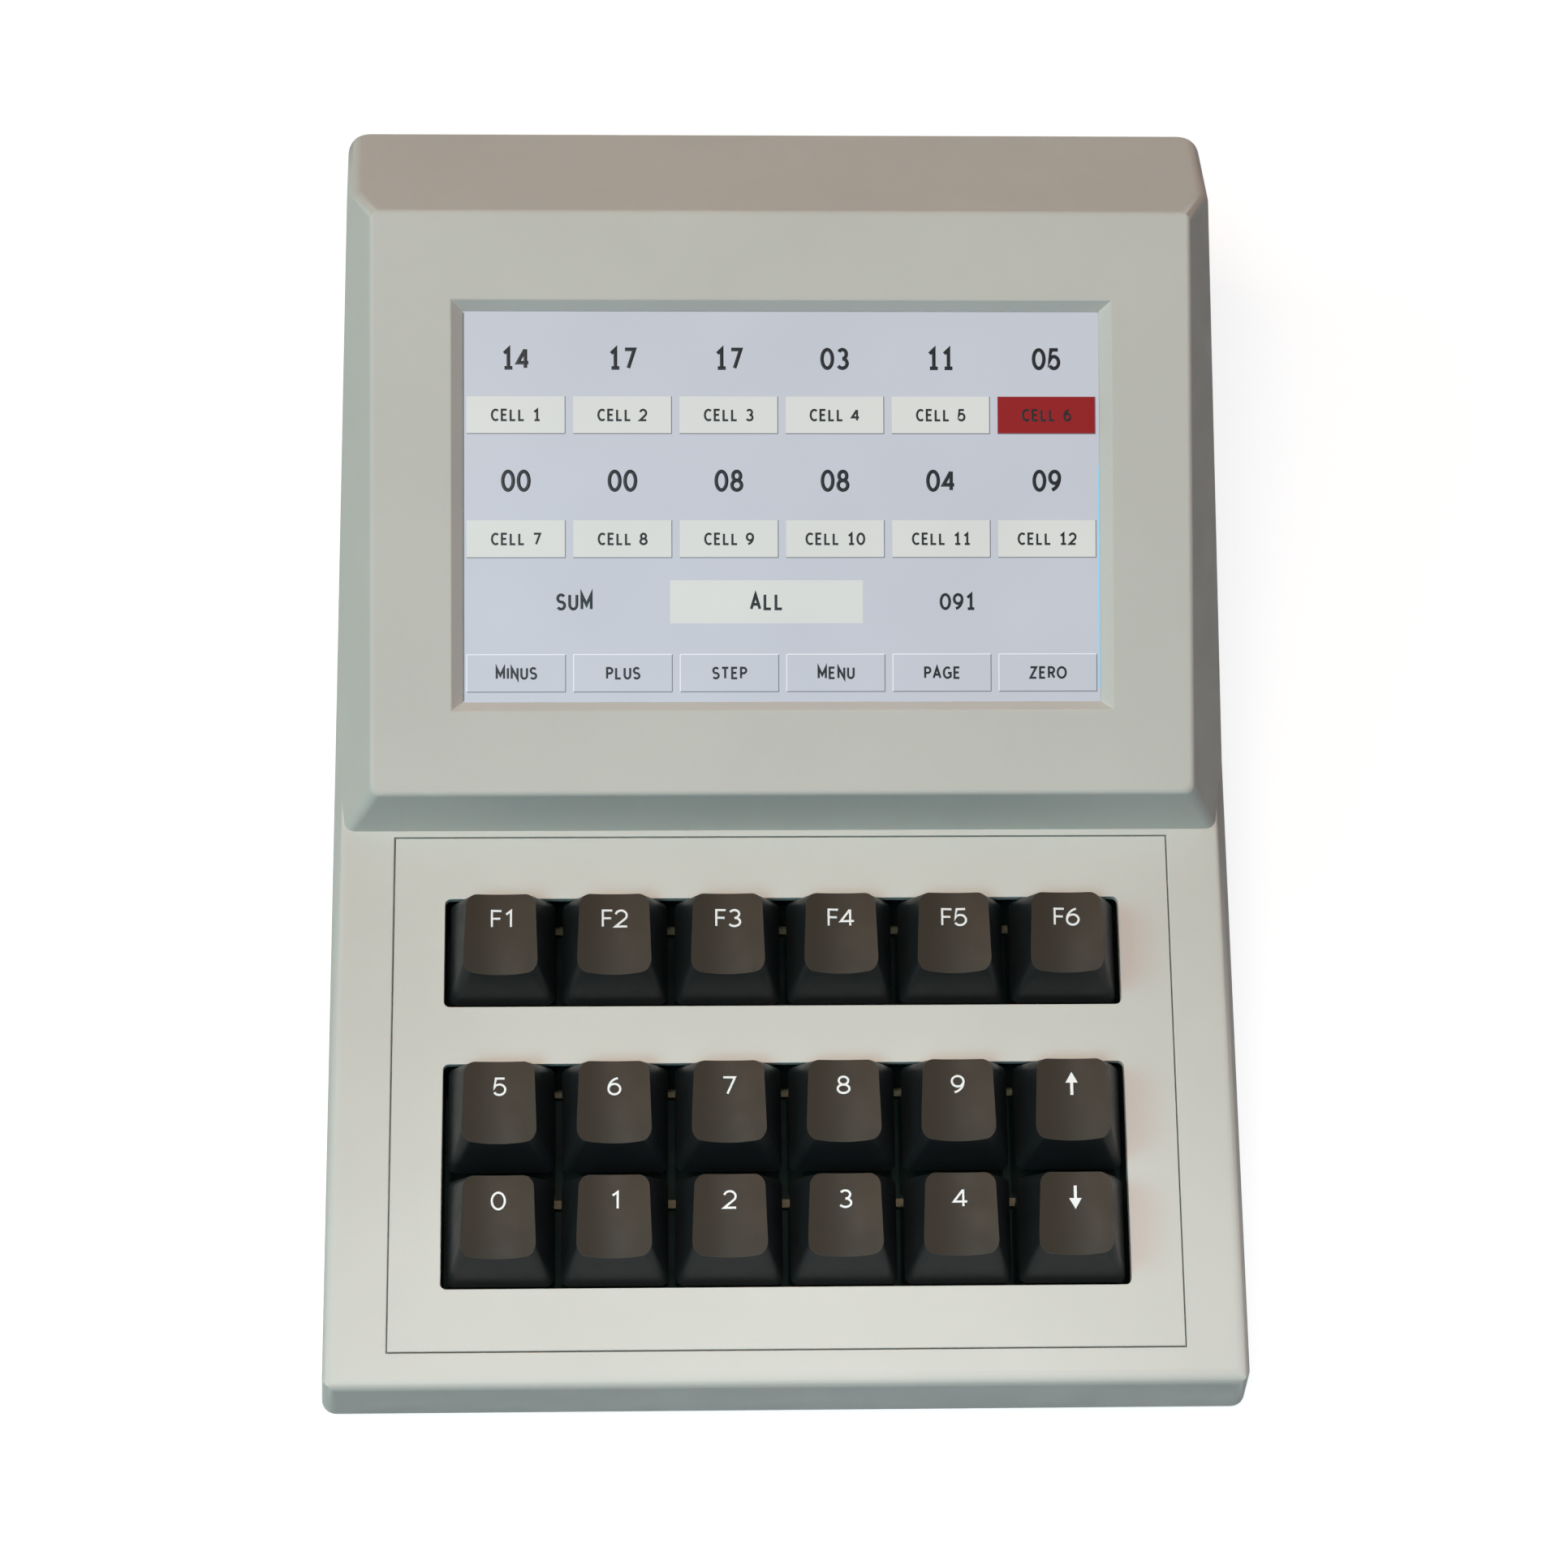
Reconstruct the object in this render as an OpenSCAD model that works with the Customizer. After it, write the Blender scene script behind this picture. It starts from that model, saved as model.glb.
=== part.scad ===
// Bench-top differential cell counter: wedge case with 18 keys and a tilted display hood.
// Millimetres. +X right, +Y to the back, +Z up. Origin: centre of the bounding box, on the table.

/* [Keypad] */
// distance between neighbouring key centres
key_pitch = 19.05; // [18.5:0.05:20]
// tilt of the keypad plane against the table, degrees
keypad_tilt = 6; // [3:0.5:8]
// width of the inset key panel
panel_w = 132; // [128:0.5:136]
// depth of the inset key panel, front to back
panel_d = 87.3; // [85:0.1:90]
// thickness of the key panel
panel_t = 1.8; // [1.4:0.1:2]
// gap of the seam all round the key panel
panel_gap = 0.2; // [0.15:0.05:0.4]
// width of the ledge that the panel rests on
ledge_w = 3; // [2:0.25:4]
// centre line of the front key row, from the panel's centre
front_row = -24.04; // [-24.6:0.02:-23.6]
// gap between outer keycaps and the openings, sideways
opening_gap_x = 0.9; // [0.5:0.1:1.4]
// gap between keycaps and the openings, front and back
opening_gap_y = 0.45; // [0.35:0.05:0.6]
// corner radius of the key openings
opening_r = 1; // [0.5:0.1:1.5]
// how far a key travels
key_travel = 4; // [3:0.1:4]

/* [Keycaps] */
// side of a keycap's square base
cap_base = 17.8; // [17.4:0.1:18.1]
// width of a keycap's top
cap_top_w = 11.9; // [11.5:0.1:12.5]
// depth of a keycap's top, front to back
cap_top_d = 13; // [12.8:0.1:13.8]
// how far the top is set towards the back
cap_top_back = 1.75; // [1.4:0.05:1.8]
// height of a keycap at its back edge
cap_h = 9.5; // [9.3:0.1:9.9]
// fall of the top towards the front edge
cap_fall = 0.9; // [0.4:0.1:1.2]
// radius of the cylindrical dish in the top
dish_r = 18; // [15:0.5:25]
// depth of the dish below the top
dish_depth = 0.8; // [0.5:0.1:1.1]
// diameter of the socket under a keycap
socket_d = 5.5; // [5.4:0.1:5.7]
// wall of a keycap
cap_wall = 1.3; // [1.2:0.1:1.4]
// height of the keycaps' lower edge over the panel, negative is below
cap_base_w = -1.2; // [-1.5:0.1:-0.8]

/* [Switches] */
// board surface to the lower edge of a keycap at rest
cap_over_board = 10.7; // [10.5:0.1:11]
// side of a switch's lower housing
switch_w = 14; // [13.6:0.1:14.4]
// side of the flange where the housings meet
flange_w = 15.6; // [15:0.1:16]
// height of the lower housing over the board
base_h = 5; // [4.8:0.1:5.2]
// height of a switch's housings over the board
switch_h = 11.6; // [11.4:0.1:11.8]
// width of the upper housing at its top
switch_top_w = 10; // [9.9:0.1:10.2]
// depth of the upper housing at its top, front to back
switch_top_d = 8.6; // [8.4:0.1:8.7]
// wall of the switch housings
switch_wall = 1; // [0.8:0.1:1.2]
// running gap of a stem in its housing
stem_gap = 0.3; // [0.25:0.05:0.4]
// stem width, sideways
stem_w = 6.8; // [6.6:0.1:6.9]
// width of the stem's shoulders, beyond the stem
shoulder = 0.6; // [0.5:0.05:0.6]
// stem depth, front to back
stem_d = 5.4; // [5.2:0.1:5.6]
// height of the cross that holds the keycap
cross_h = 3.6; // [3.4:0.1:3.8]
// span of the cross
cross_w = 4; // [3.8:0.1:4.2]
// thickness of the cross
cross_t = 1.2; // [1.1:0.05:1.3]
// gap of the cross in the keycap's socket
cross_gap = 0.03; // [0.02:0.01:0.05]
// mean diameter of a return spring
spring_d = 4.3; // [4.2:0.05:4.4]
// wire diameter of a return spring
spring_wire = 0.4; // [0.35:0.05:0.4]
// turns of a return spring
spring_turns = 5; // [4:1:6]

/* [Case] */
// half of the case's width
case_half = 76.6; // [75.5:0.1:78]
// wall thickness of the case
wall = 2.8; // [2.6:0.1:3]
// height of the front edge over the case's rim
front_h = 17; // [16.6:0.1:19]
// front wall to the panel's centre, along the keypad
front_v = 50.2; // [49:0.1:52]
// height of the rubber feet
foot_h = 2; // [1.6:0.1:3]
// diameter of the rubber feet
foot_d = 12; // [10:0.5:14]
// rubber feet to the case's sides
foot_in_x = 18.6; // [14:0.1:20]
// rubber feet to the case's front and back
foot_in_y = 22; // [16:1:26]
// rounding of the case's edges
edge_r = 2.5; // [1.5:0.25:3]
// reach of the front wall's foot past its top
front_lean = 0.6; // [0.3:0.1:0.8]
// rounding of the upright back corners
back_r = 5; // [3.5:0.5:6]
// thickness of the base plate
base_t = 2; // [1.8:0.1:2.4]
// gap between the base plate and the case
base_gap = 0.25; // [0.15:0.05:0.4]

/* [Hood] */
// foot of the hood's front, from the panel's centre
hood_v = 44.9; // [44.5:0.1:47]
// face's lower edge, from the panel's centre along the keypad
face_v = 48.07; // [47.8:0.01:50]
// face's lower edge over the keypad plane
face_w = 12.14; // [11:0.01:14]
// tilt of the face against the keypad plane, degrees
face_tilt = 13.6; // [12:0.1:15]
// width of the face
face_width = 139; // [137:0.5:141]
// height of the face along its slope
face_d = 98.75; // [97:0.25:100]
// slope of the side bevels from upright, degrees
bevel_angle = 25; // [22:0.5:28]
// lean of the case's sides, degrees
hood_draft = 5; // [4:0.25:6]
// ridge to the back wall, level
back_run = 30.3; // [28:0.1:32]
// height of the back wall's top over the keypad plane
back_w = 7.5; // [5:0.1:9]
// rounding of the face's edges
face_r = 1.2; // [0.6:0.1:2]
// rounding of the face's front corners
face_corner_r = 1.8; // [1.2:0.1:2.5]
// rounding of the hood's front corners at its foot
foot_corner_r = 1.6; // [1:0.2:3]
// rounding between the side bevels and the sides
side_r = 5; // [3:0.5:6]
// rounding between the side bevels and the back slope
mitre_r = 2; // [1:0.25:3]

/* [Display] */
// visible screen width
screen_w = 108.2; // [107:0.1:109]
// visible screen height
screen_d = 66.5; // [65.5:0.1:67]
// recess width at the face
recess_w = 112; // [111:0.1:113]
// recess height at the face
recess_d = 69.6; // [69:0.1:70.5]
// depth of the recess's sloping rim
recess_t = 2; // [1.5:0.1:2.2]
// screen centre from the face's centre, up the slope
screen_v = -0.5; // [-1.5:0.1:1]
// touch glass width
glass_w = 120.4; // [118:0.1:121]
// touch glass height
glass_d = 76.4; // [75:0.1:77]
// touch glass thickness
glass_t = 1.4; // [1:0.1:1.8]
// thickness of the display panel
lcd_t = 3; // [2.6:0.1:3.4]
// thickness of the clamping bracket
bracket_t = 2; // [1.8:0.1:2.4]
// display screw position, sideways
bracket_x = 54; // [50:0.5:57]
// gap between the display screws' bosses and the glass
glass_gap = 0.8; // [0.6:0.1:1]
// width of the opening in the clamping bracket
bracket_open_w = 76; // [70:1:80]
// height of the opening in the clamping bracket
bracket_open_d = 42; // [36:1:44]
// height of the bracket's posts for the main board
post_h = 4; // [3.8:0.1:4.6]

/* [Boards and fasteners] */
// thickness of the circuit boards
board_t = 1.6; // [1.2:0.1:1.6]
// shank diameter of the small screws
screw_d = 2.5; // [2.2:0.1:2.6]
// shank length of the small screws
screw_l = 6; // [5.5:0.1:6]
// head diameter of the small screws
head_d = 4.5; // [4:0.1:4.8]
// head height of the small screws
head_h = 1.6; // [1.3:0.1:1.7]
// diameter of bosses and posts
boss_d = 6; // [5.6:0.1:6.4]
// shank diameter of the base screws
base_screw_d = 3; // [2.8:0.1:3.2]
// length of the base screws
base_screw_l = 10; // [9:0.5:12]
// gap of a screw in its pilot hole
thread_gap = 0.05; // [0.03:0.01:0.08]
// gap where fixed pieces rest on one another
seat_gap = 0.05; // [0.03:0.01:0.08]
// pitch of the key board's posts, sideways
board_post_x = 38.1; // [36:0.1:40]
// main board post, sideways from the middle
main_post_x = 44; // [42:0.5:46]
// main board post, up the slope from the middle
main_post_y = 27; // [24:0.5:29]
// connector board post, sideways from the middle
io_post_x = 48; // [46:0.5:50]
// connector board post, front and back of the board's middle
io_post_y = 13; // [11:0.5:14]
// height of the posts under the connector board
io_post_h = 4; // [3.6:0.1:4.4]
// depth of the connector board, front to back
io_d = 36; // [34:0.5:37]
// gap between the connector board and the rear wall
io_gap = 1.2; // [0.8:0.1:1.6]

/* [Rear wall] */
// length of the rocker switch's body
switch_body_l = 18.6; // [18.4:0.1:19]
// height of the rocker switch's body
switch_body_h = 12.4; // [12.2:0.1:12.8]
// swing of the rocker from end to end, degrees
rocker_swing = 16; // [12:1:18]
// height of the rocker's pivot over the table
switch_z = 24; // [22:0.5:28]
// rocker switch position, sideways
switch_x = 38; // [34:1:42]
// power inlet position, sideways
inlet_x = -34; // [-38:1:-30]
// data socket position, sideways
usb_x = 2; // [-6:1:8]
// bore of the power inlet
inlet_bore = 5.7; // [5.5:0.1:6]
// outer diameter of the power inlet's nose
inlet_nose = 7.8; // [7.4:0.1:8.2]
// width of the data socket
usb_w = 12; // [11.8:0.1:12.4]
// height of the data socket
usb_h = 11; // [10.8:0.1:11.2]
// gap of the sockets and the switch in their cut-outs
cut_gap = 0.3; // [0.2:0.05:0.4]
// half of the rocker's length
rocker_half = 7.6; // [7.2:0.1:7.8]
// pivot to the rocker's raised ends
rocker_top = 4.4; // [4:0.1:4.6]
// depth of the rocker's pivot inside the wall's face
pivot_in = 2.2; // [2:0.1:2.6]
// width of the rocker
rocker_w = 10.2; // [9.8:0.1:10.4]
// diameter of the rocker's pivot
pivot_d = 3; // [2.6:0.1:3.2]
// radial running gap of the rocker's pivot
pivot_gap = 0.05; // [0.03:0.01:0.08]
// inner height of the rocker switch
switch_in_h = 10.8; // [10.7:0.1:11]

/* [Hidden] */
e = 0.01;

// lengths along the case, from the panel's centre
ct = cos(keypad_tilt);
st = sin(keypad_tilt);
rim_z = foot_h;
front_z = rim_z + front_h;
panel_z = front_z + front_v * st;
front_y0 = -front_v * ct;
ridge_v = face_v + face_d * cos(face_tilt);
ridge_w = face_w + face_d * sin(face_tilt);
back_y0 = ridge_v * ct - ridge_w * st + back_run;
bezel_t = 1.8;
rear_reach = rocker_half * sin(rocker_swing / 2) + rocker_top * cos(rocker_swing / 2) - pivot_in;
case_len = back_y0 - front_y0;
panel_y = -(case_len + rear_reach) / 2 - front_y0;
front_y = front_y0 + panel_y;
back_y = back_y0 + panel_y;
back_v = (back_y0 + back_w * st) / ct;
back_z = panel_z + back_v * st + back_w * ct;
belt_z = panel_z + (back_y0 / ct) * st;
cap_row = [front_row, front_row + key_pitch, front_row + 2.5 * key_pitch];
board_w = cap_base_w - cap_over_board;
face_cv = face_v + face_d / 2 * cos(face_tilt);
face_cw = face_w + face_d / 2 * sin(face_tilt);
front_angle = atan((face_v - hood_v) / face_w) + face_tilt;
foot_depth = norm([face_v - hood_v, face_w]) * cos(front_angle);
plate_z = rim_z + base_t;
io_z = plate_z + io_post_h + seat_gap;
on_io = io_z + board_t + seat_gap;
inlet_h = 11;
inlet_z = on_io + inlet_h / 2;
io_y = back_y - wall - io_gap - io_d / 2;
play = 2 * thread_gap;
screw_pass = 0.4;
boss_x = case_half - 7.6;
base_screw_y = [panel_y - 42 * ct, panel_y + 38 * ct, back_y - 9];
post_y = [-panel_d / 2 + ledge_w + 2.35, front_row + 1.75 * key_pitch, panel_d / 2 - ledge_w - 2.35];
glass_top = -wall - seat_gap;
lcd_top = glass_top - glass_t - seat_gap;
bracket_top = lcd_top - lcd_t - seat_gap;
main_top = bracket_top - bracket_t - post_h - seat_gap;
bracket_y = glass_d / 2 + glass_gap + boss_d / 2;
board_rim = 3;
main_w = 2 * (main_post_x + boss_d / 2 + board_rim);
main_d = 2 * (main_post_y + boss_d / 2 + board_rim);
key_board_w = 5 * key_pitch + flange_w + 2.7 * board_rim;
key_board_d = 2 * (post_y[2] + boss_d / 2 + board_rim / 6);

// a point of the keypad frame, as (y, z)
function kp(v, w) = [panel_y + v * ct - w * st, panel_z + v * st + w * ct];
// a point of the display frame, as (y, z)
function dp(v, w) = kp(face_cv + v * cos(face_tilt) - w * sin(face_tilt),
  face_cw + v * sin(face_tilt) + w * cos(face_tilt));
function unit(a) = a / norm(a);
function side(p, i) = let (a = p[max(i - 1, 0)], b = p[min(i + 1, len(p) - 1)], d = unit(b - a)) [-d.y, d.x];

module on_keypad() {
  translate([0, panel_y, panel_z]) rotate([keypad_tilt, 0, 0]) children();
}

module on_display() {
  on_keypad() translate([0, face_cv, face_cw]) rotate([face_tilt, 0, 0]) children();
}

// a side view, drawn as (y, z), made as wide as w
module across(w) {
  rotate([90, 0, 90]) linear_extrude(height = w, center = true) children();
}

// a front view, drawn as (x, z), made as long as l
module along(l) {
  rotate([90, 0, 0]) linear_extrude(height = l, center = true) children();
}

module soft(r) {
  if (r > 0) offset(r = r, $fn = 24) offset(delta = -r) children();
  else children();
}

// block of width w and depth d, whose four sides lean in to w2 and d2 over the height h
module frustum(w, d, w2, d2, h) {
  intersection() {
    along(max(d, d2) + 2) polygon([[-w / 2, 0], [w / 2, 0], [w2 / 2, h], [-w2 / 2, h]]);
    across(max(w, w2) + 2) polygon([[-d / 2, 0], [d / 2, 0], [d2 / 2, h], [-d2 / 2, h]]);
  }
}

module box(w, d, h) {
  translate([-w / 2, -d / 2, 0]) cube([w, d, h]);
}

// outline of the case from above, t inside its surface
module plan(t) {
  offset(delta = -t) hull() {
    for (s = [-1, 1]) {
      translate([s * (case_half - edge_r), front_y + edge_r]) circle(r = edge_r, $fn = 24);
      translate([s * (case_half - back_r), back_y - back_r]) circle(r = back_r, $fn = 24);
    }
  }
}

// inside of the lower body, t inside its surface
module wedge(t) {
  intersection() {
    across(200) offset(delta = -t)
      polygon([[front_y, rim_z - 30], [front_y, front_z], [back_y, belt_z], [back_y, rim_z - 30]]);
    on_keypad() translate([0, 60, 0]) along(400)
      offset(delta = -t) translate([-case_half, -90]) square([2 * case_half, 90]);
    translate([0, 0, rim_z - 10]) linear_extrude(height = 120) plan(t);
  }
}

// half the case's width at height w over the keypad plane
function half_at(w) = case_half - w * tan(hood_draft);

// upright corner of the case with radius r at y, from the foot to height w over the keypad plane
module column(y_foot, y, r, w) {
  z = panel_z + (y - panel_y) * tan(keypad_tilt);
  for (p = [[half_at((rim_z - z) * ct), y_foot, rim_z], [half_at(w), y, z + w / ct]], s = [-1, 1])
    translate([s * (p.x - r), p.y, p.z]) cylinder(r = r, h = 0.01, $fn = 24);
}

// all that lies between the case's four upright corners
module outline_body() {
  hull() {
    column(front_y + edge_r, front_y + front_lean + edge_r, edge_r, 0.1);
    column(back_y - back_r, back_y - back_r, back_r, 60);
  }
}

// lower body under the keypad plane, its sides and front spread toward the foot
module lower_body() {
  deep = 90;
  intersection() {
    across(200) soft(edge_r) polygon([[front_y - front_lean, rim_z - front_h],
      [front_y + front_lean, front_z + front_lean * tan(keypad_tilt)],
      [back_y, belt_z], [back_y, rim_z - front_h]]);
    on_keypad() translate([0, 60, 0]) along(400) soft(edge_r) polygon([[-case_half, 0], [case_half, 0],
      [half_at(-deep), -deep], [-half_at(-deep), -deep]]);
    outline_body();
  }
}

// outward run of a side that leans by a, at depth d below the face and t inside its surface
function run(d, a, t) = t > 0 || d > face_r * (1 - sin(a)) ? d * tan(a) - t / cos(a)
  : sqrt(face_r * face_r - (face_r - d) * (face_r - d)) - face_r * tan(45 - a / 2);

// outline of the hood at depth d below the face, front corners rounded
function ring(d, t) = let (x = face_width / 2 + run(d, bevel_angle, t),
    v = -face_d / 2 - run(d, front_angle, t),
    r = max(0.4, face_corner_r + (foot_corner_r - face_corner_r) * d / foot_depth - t), q = 6)
  concat([[x, 120, -d]],
    [for (i = [0 : q]) [x - r + r * cos(90 * i / q), v + r - r * sin(90 * i / q), -d]],
    [for (i = [q : -1 : 0]) [-x + r - r * cos(90 * i / q), v + r - r * sin(90 * i / q), -d]],
    [[-x, 120, -d]]);

// skin over rings of as many points each, the first ring on top
module loft(rings) {
  n = len(rings[0]);
  m = len(rings) - 1;
  polyhedron(points = [for (g = rings) each g], faces = concat([[for (k = [0 : n - 1]) k]],
    [[for (k = [n - 1 : -1 : 0]) m * n + k]],
    [for (i = [0 : m - 1], k = [0 : n - 1]) let (j = (k + 1) % n)
      each [[i * n + j, i * n + k, (i + 1) * n + k], [i * n + j, (i + 1) * n + k, (i + 1) * n + j]]]));
}

// all that lies behind two planes through p, which face a and b, their edge rounded
module rounded_edge(p, a, b, r) {
  o = unit(a + b);
  d = unit(cross(a, b));
  s = cross(o, d);
  h = 90 - acos(a * b) / 2;
  q = p + e / 2 * o;
  multmatrix([[s.x, o.x, d.x, q.x], [s.y, o.y, d.y, q.y], [s.z, o.z, d.z, q.z], [0, 0, 0, 1]])
    linear_extrude(height = 400, center = true) offset(r = r, $fn = 48) offset(delta = -r)
      polygon([[0, 0], [400 * sin(h), -400 * cos(h)], [400 * sin(h), -600],
        [-400 * sin(h), -600], [-400 * sin(h), -400 * cos(h)]]);
}

// everything behind the hood's rounded side edges
module hood_edges() {
  m = tan(bevel_angle) * cos(face_tilt);
  edge_w = (face_width / 2 + face_cw * m - case_half) / (m - tan(hood_draft));
  slope = unit([back_v - ridge_v, back_w - ridge_w]);
  slope_n = [0, -slope.y, slope.x];
  on_keypad() intersection_for (s = [-1, 1]) {
    side_n = [s * cos(hood_draft), 0, sin(hood_draft)];
    bevel_n = [s * cos(bevel_angle), -sin(bevel_angle) * sin(face_tilt),
      sin(bevel_angle) * cos(face_tilt)];
    intersection() {
      rounded_edge([s * (case_half - back_w * tan(hood_draft)), back_v, back_w], side_n, slope_n, edge_r);
      rounded_edge([s * (case_half - edge_w * tan(hood_draft)), face_cv, edge_w], side_n, bevel_n, side_r);
      rounded_edge([s * face_width / 2, ridge_v, ridge_w], bevel_n, slope_n, mitre_r);
    }
  }
}

// raised display hood, t inside its surface
module hood(t) {
  low = 9;
  intersection() {
    across(200) soft(t > 0 ? 0 : face_r) offset(delta = -t)
      polygon([kp(hood_v - 25, -low), dp(-70, e / 2), dp(face_d / 2, e / 2),
        [back_y, back_z], [back_y, belt_z - low]]);
    on_keypad() translate([0, 100, 0]) along(300) offset(delta = -t)
      polygon(t > 0 ? [[-case_half, -30], [case_half, -30], [case_half, 0], [half_at(45), 45],
        [-half_at(45), 45], [-case_half, 0]]
        : [[-half_at(-30), -30], [half_at(-30), -30], [half_at(45), 45], [-half_at(45), 45]]);
    on_display() loft(t > 0 ? [ring(t, t), ring(70, t)]
      : [for (f = [0, 15, 30, 45, 65]) ring(face_r * (1 - cos(f)), 0), ring(70, 0)]);
    if (t > 0) linear_extrude(height = 120) plan(t);
    else outline_body();
  }
}

module case_form(t) {
  if (t > 0) {
    wedge(t);
    hood(t);
  } else {
    lower_body();
    intersection() {
      hood(t);
      hood_edges();
    }
  }
}

// children stand near the key panel's four corners, this far in from its edges
module at_corners(in) {
  for (s = [-1, 1], q = [-1, 1]) translate([s * (panel_w / 2 - in), q * (panel_d / 2 - in), 0]) children();
}

lug_in = 5;
peg_in = 4.5;
panel_peg_d = 3;

// corner lugs that take the panel's pegs
module lugs() {
  on_keypad() at_corners(lug_in) translate([0, 0, -wall]) box(8, 8, wall - panel_t - e);
}

module upper_housing() {
  color([0.83, 0.83, 0.8]) difference() {
    union() {
      difference() {
        case_form(0);
        case_form(wall);
      }
      // bosses for the base screws
      for (s = [-1, 1], i = [0, 1, 2]) {
        top = i < 2 ? panel_z + (base_screw_y[i] - panel_y) / ct * st - 2.3 : back_z + 4;
        translate([s * boss_x, base_screw_y[i], plate_z + seat_gap])
          cylinder(d = 7, h = top - plate_z - seat_gap, $fn = 32);
      }
      lugs();
      // bosses for the display bracket
      on_display() translate([0, screen_v, 0]) for (s = [-1, 1], q = [-1, 1])
        translate([s * bracket_x, q * bracket_y, bracket_top + seat_gap])
          cylinder(d = boss_d, h = -bracket_top - 2, $fn = 32);
    }
    // seat and opening for the key panel
    on_keypad() {
      translate([0, 0, -panel_t - e]) box(panel_w + 2 * panel_gap, panel_d + 2 * panel_gap, 10);
      difference() {
        translate([0, 0, -10]) box(panel_w - 2 * ledge_w, panel_d - 2 * ledge_w, 20);
        at_corners(lug_in) translate([0, 0, -wall]) box(8, 8, wall - panel_t - e);
      }
      at_corners(peg_in) translate([0, 0, -10]) cylinder(d = panel_peg_d + 0.2, h = 20, $fn = 24);
    }
    // screen recess with sloping rim
    on_display() translate([0, screen_v, 0]) {
      translate([0, 0, -recess_t]) frustum(screen_w, screen_d,
        screen_w + (recess_w - screen_w) * 2, screen_d + (recess_d - screen_d) * 2, 2 * recess_t);
      translate([0, 0, -10]) box(screen_w, screen_d, 10 - recess_t + e);
      for (s = [-1, 1], q = [-1, 1]) translate([s * bracket_x, q * bracket_y, -20])
        cylinder(d = screw_d + play, h = 20 - recess_t - 0.8, $fn = 24);
    }
    // pilot holes for the base screws
    for (s = [-1, 1], i = [0, 1, 2]) translate([s * boss_x, base_screw_y[i], 0])
      cylinder(d = base_screw_d + play, h = rim_z + base_screw_l + 1, $fn = 24);
    // rear wall: rocker switch, power inlet, data socket
    translate([switch_x, back_y, switch_z - switch_body_h / 2 - cut_gap])
      box(switch_body_l + 2 * cut_gap, 10, switch_body_h + 2 * cut_gap);
    translate([inlet_x, back_y, inlet_z]) rotate([90, 0, 0])
      cylinder(d = inlet_nose + 2 * cut_gap, h = 10, center = true, $fn = 32);
    translate([usb_x, back_y, on_io - cut_gap]) box(usb_w + 2 * cut_gap, 10, usb_h + 2 * cut_gap);
  }
}

module base_plate() {
  color([0.3, 0.31, 0.32]) difference() {
    union() {
      intersection() {
        wedge(wall + base_gap);
        translate([0, 0, rim_z]) box(200, 300, base_t);
      }
      for (s = [-1, 1], q = [-1, 1]) translate([s * io_post_x, io_y + q * io_post_y, plate_z - e])
        cylinder(d = boss_d, h = io_post_h + e, $fn = 32);
    }
    for (s = [-1, 1], q = [-1, 1]) translate([s * io_post_x, io_y + q * io_post_y, rim_z + 1])
      cylinder(d = screw_d + play, h = 10, $fn = 24);
    for (s = [-1, 1], i = [0, 1, 2]) translate([s * boss_x, base_screw_y[i], rim_z]) {
      translate([0, 0, -1]) cylinder(d = base_screw_d + 0.3, h = 10, $fn = 24);
      translate([0, 0, -e]) cylinder(d1 = 6.2, d2 = base_screw_d + 0.3, h = 1.5, $fn = 24);
    }
    // sound slots under the buzzer
    for (i = [-1, 0, 1]) translate([-8 + 4 * i, back_y - 30, 0]) box(1.6, 9, 10);
  }
}

module key_panel() {
  inner = 5 * key_pitch + cap_base + 2 * opening_gap_x;
  color([0.84, 0.83, 0.8]) on_keypad() difference() {
    union() {
      translate([0, 0, -panel_t]) box(panel_w, panel_d, panel_t);
      // posts that carry the key board
      for (s = [-1, 1], y = post_y) translate([s * board_post_x, y, board_w + seat_gap])
        cylinder(d = boss_d, h = -board_w - seat_gap - 1, $fn = 32);
      // pegs staked into the case's lugs
      at_corners(peg_in) translate([0, 0, -panel_t - 2]) cylinder(d = panel_peg_d, h = 3, $fn = 24);
    }
    translate([0, 0, -10]) linear_extrude(height = 20) {
      soft(opening_r) translate([-inner / 2, cap_row[2] - cap_base / 2 - opening_gap_y])
        square([inner, cap_base + 2 * opening_gap_y]);
      soft(opening_r) translate([-inner / 2, cap_row[0] - cap_base / 2 - opening_gap_y])
        square([inner, key_pitch + cap_base + 2 * opening_gap_y]);
    }
    for (s = [-1, 1], y = post_y) translate([s * board_post_x, y, board_w - 1])
      cylinder(d = screw_d + play, h = 7, $fn = 24);
  }
}

module display_glass() {
  color([0.75, 0.78, 0.84]) on_display() translate([0, screen_v, glass_top - glass_t])
    box(glass_w, glass_d, glass_t);
}

module lcd_panel() {
  color([0.6, 0.62, 0.65]) on_display() translate([0, screen_v, lcd_top - lcd_t])
    box(glass_w, glass_d - 0.6, lcd_t);
}

module at_main_posts() {
  for (s = [-1, 1], q = [-1, 1]) translate([s * main_post_x, q * main_post_y, 0]) children();
}

module lcd_bracket() {
  color([0.2, 0.2, 0.21]) on_display() translate([0, screen_v, 0]) difference() {
    union() {
      translate([0, 0, bracket_top - bracket_t]) box(glass_w, 2 * bracket_y + boss_d, bracket_t);
      at_main_posts() translate([0, 0, bracket_top - bracket_t - post_h])
        cylinder(d = boss_d, h = post_h + 1, $fn = 32);
    }
    translate([0, 0, -30]) box(bracket_open_w, bracket_open_d, 30);
    at_main_posts() translate([0, 0, -30]) cylinder(d = screw_d + play, h = 30, $fn = 24);
    for (s = [-1, 1], q = [-1, 1]) translate([s * bracket_x, q * bracket_y, -30])
      cylinder(d = screw_d + screw_pass, h = 30, $fn = 24);
  }
}

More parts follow.
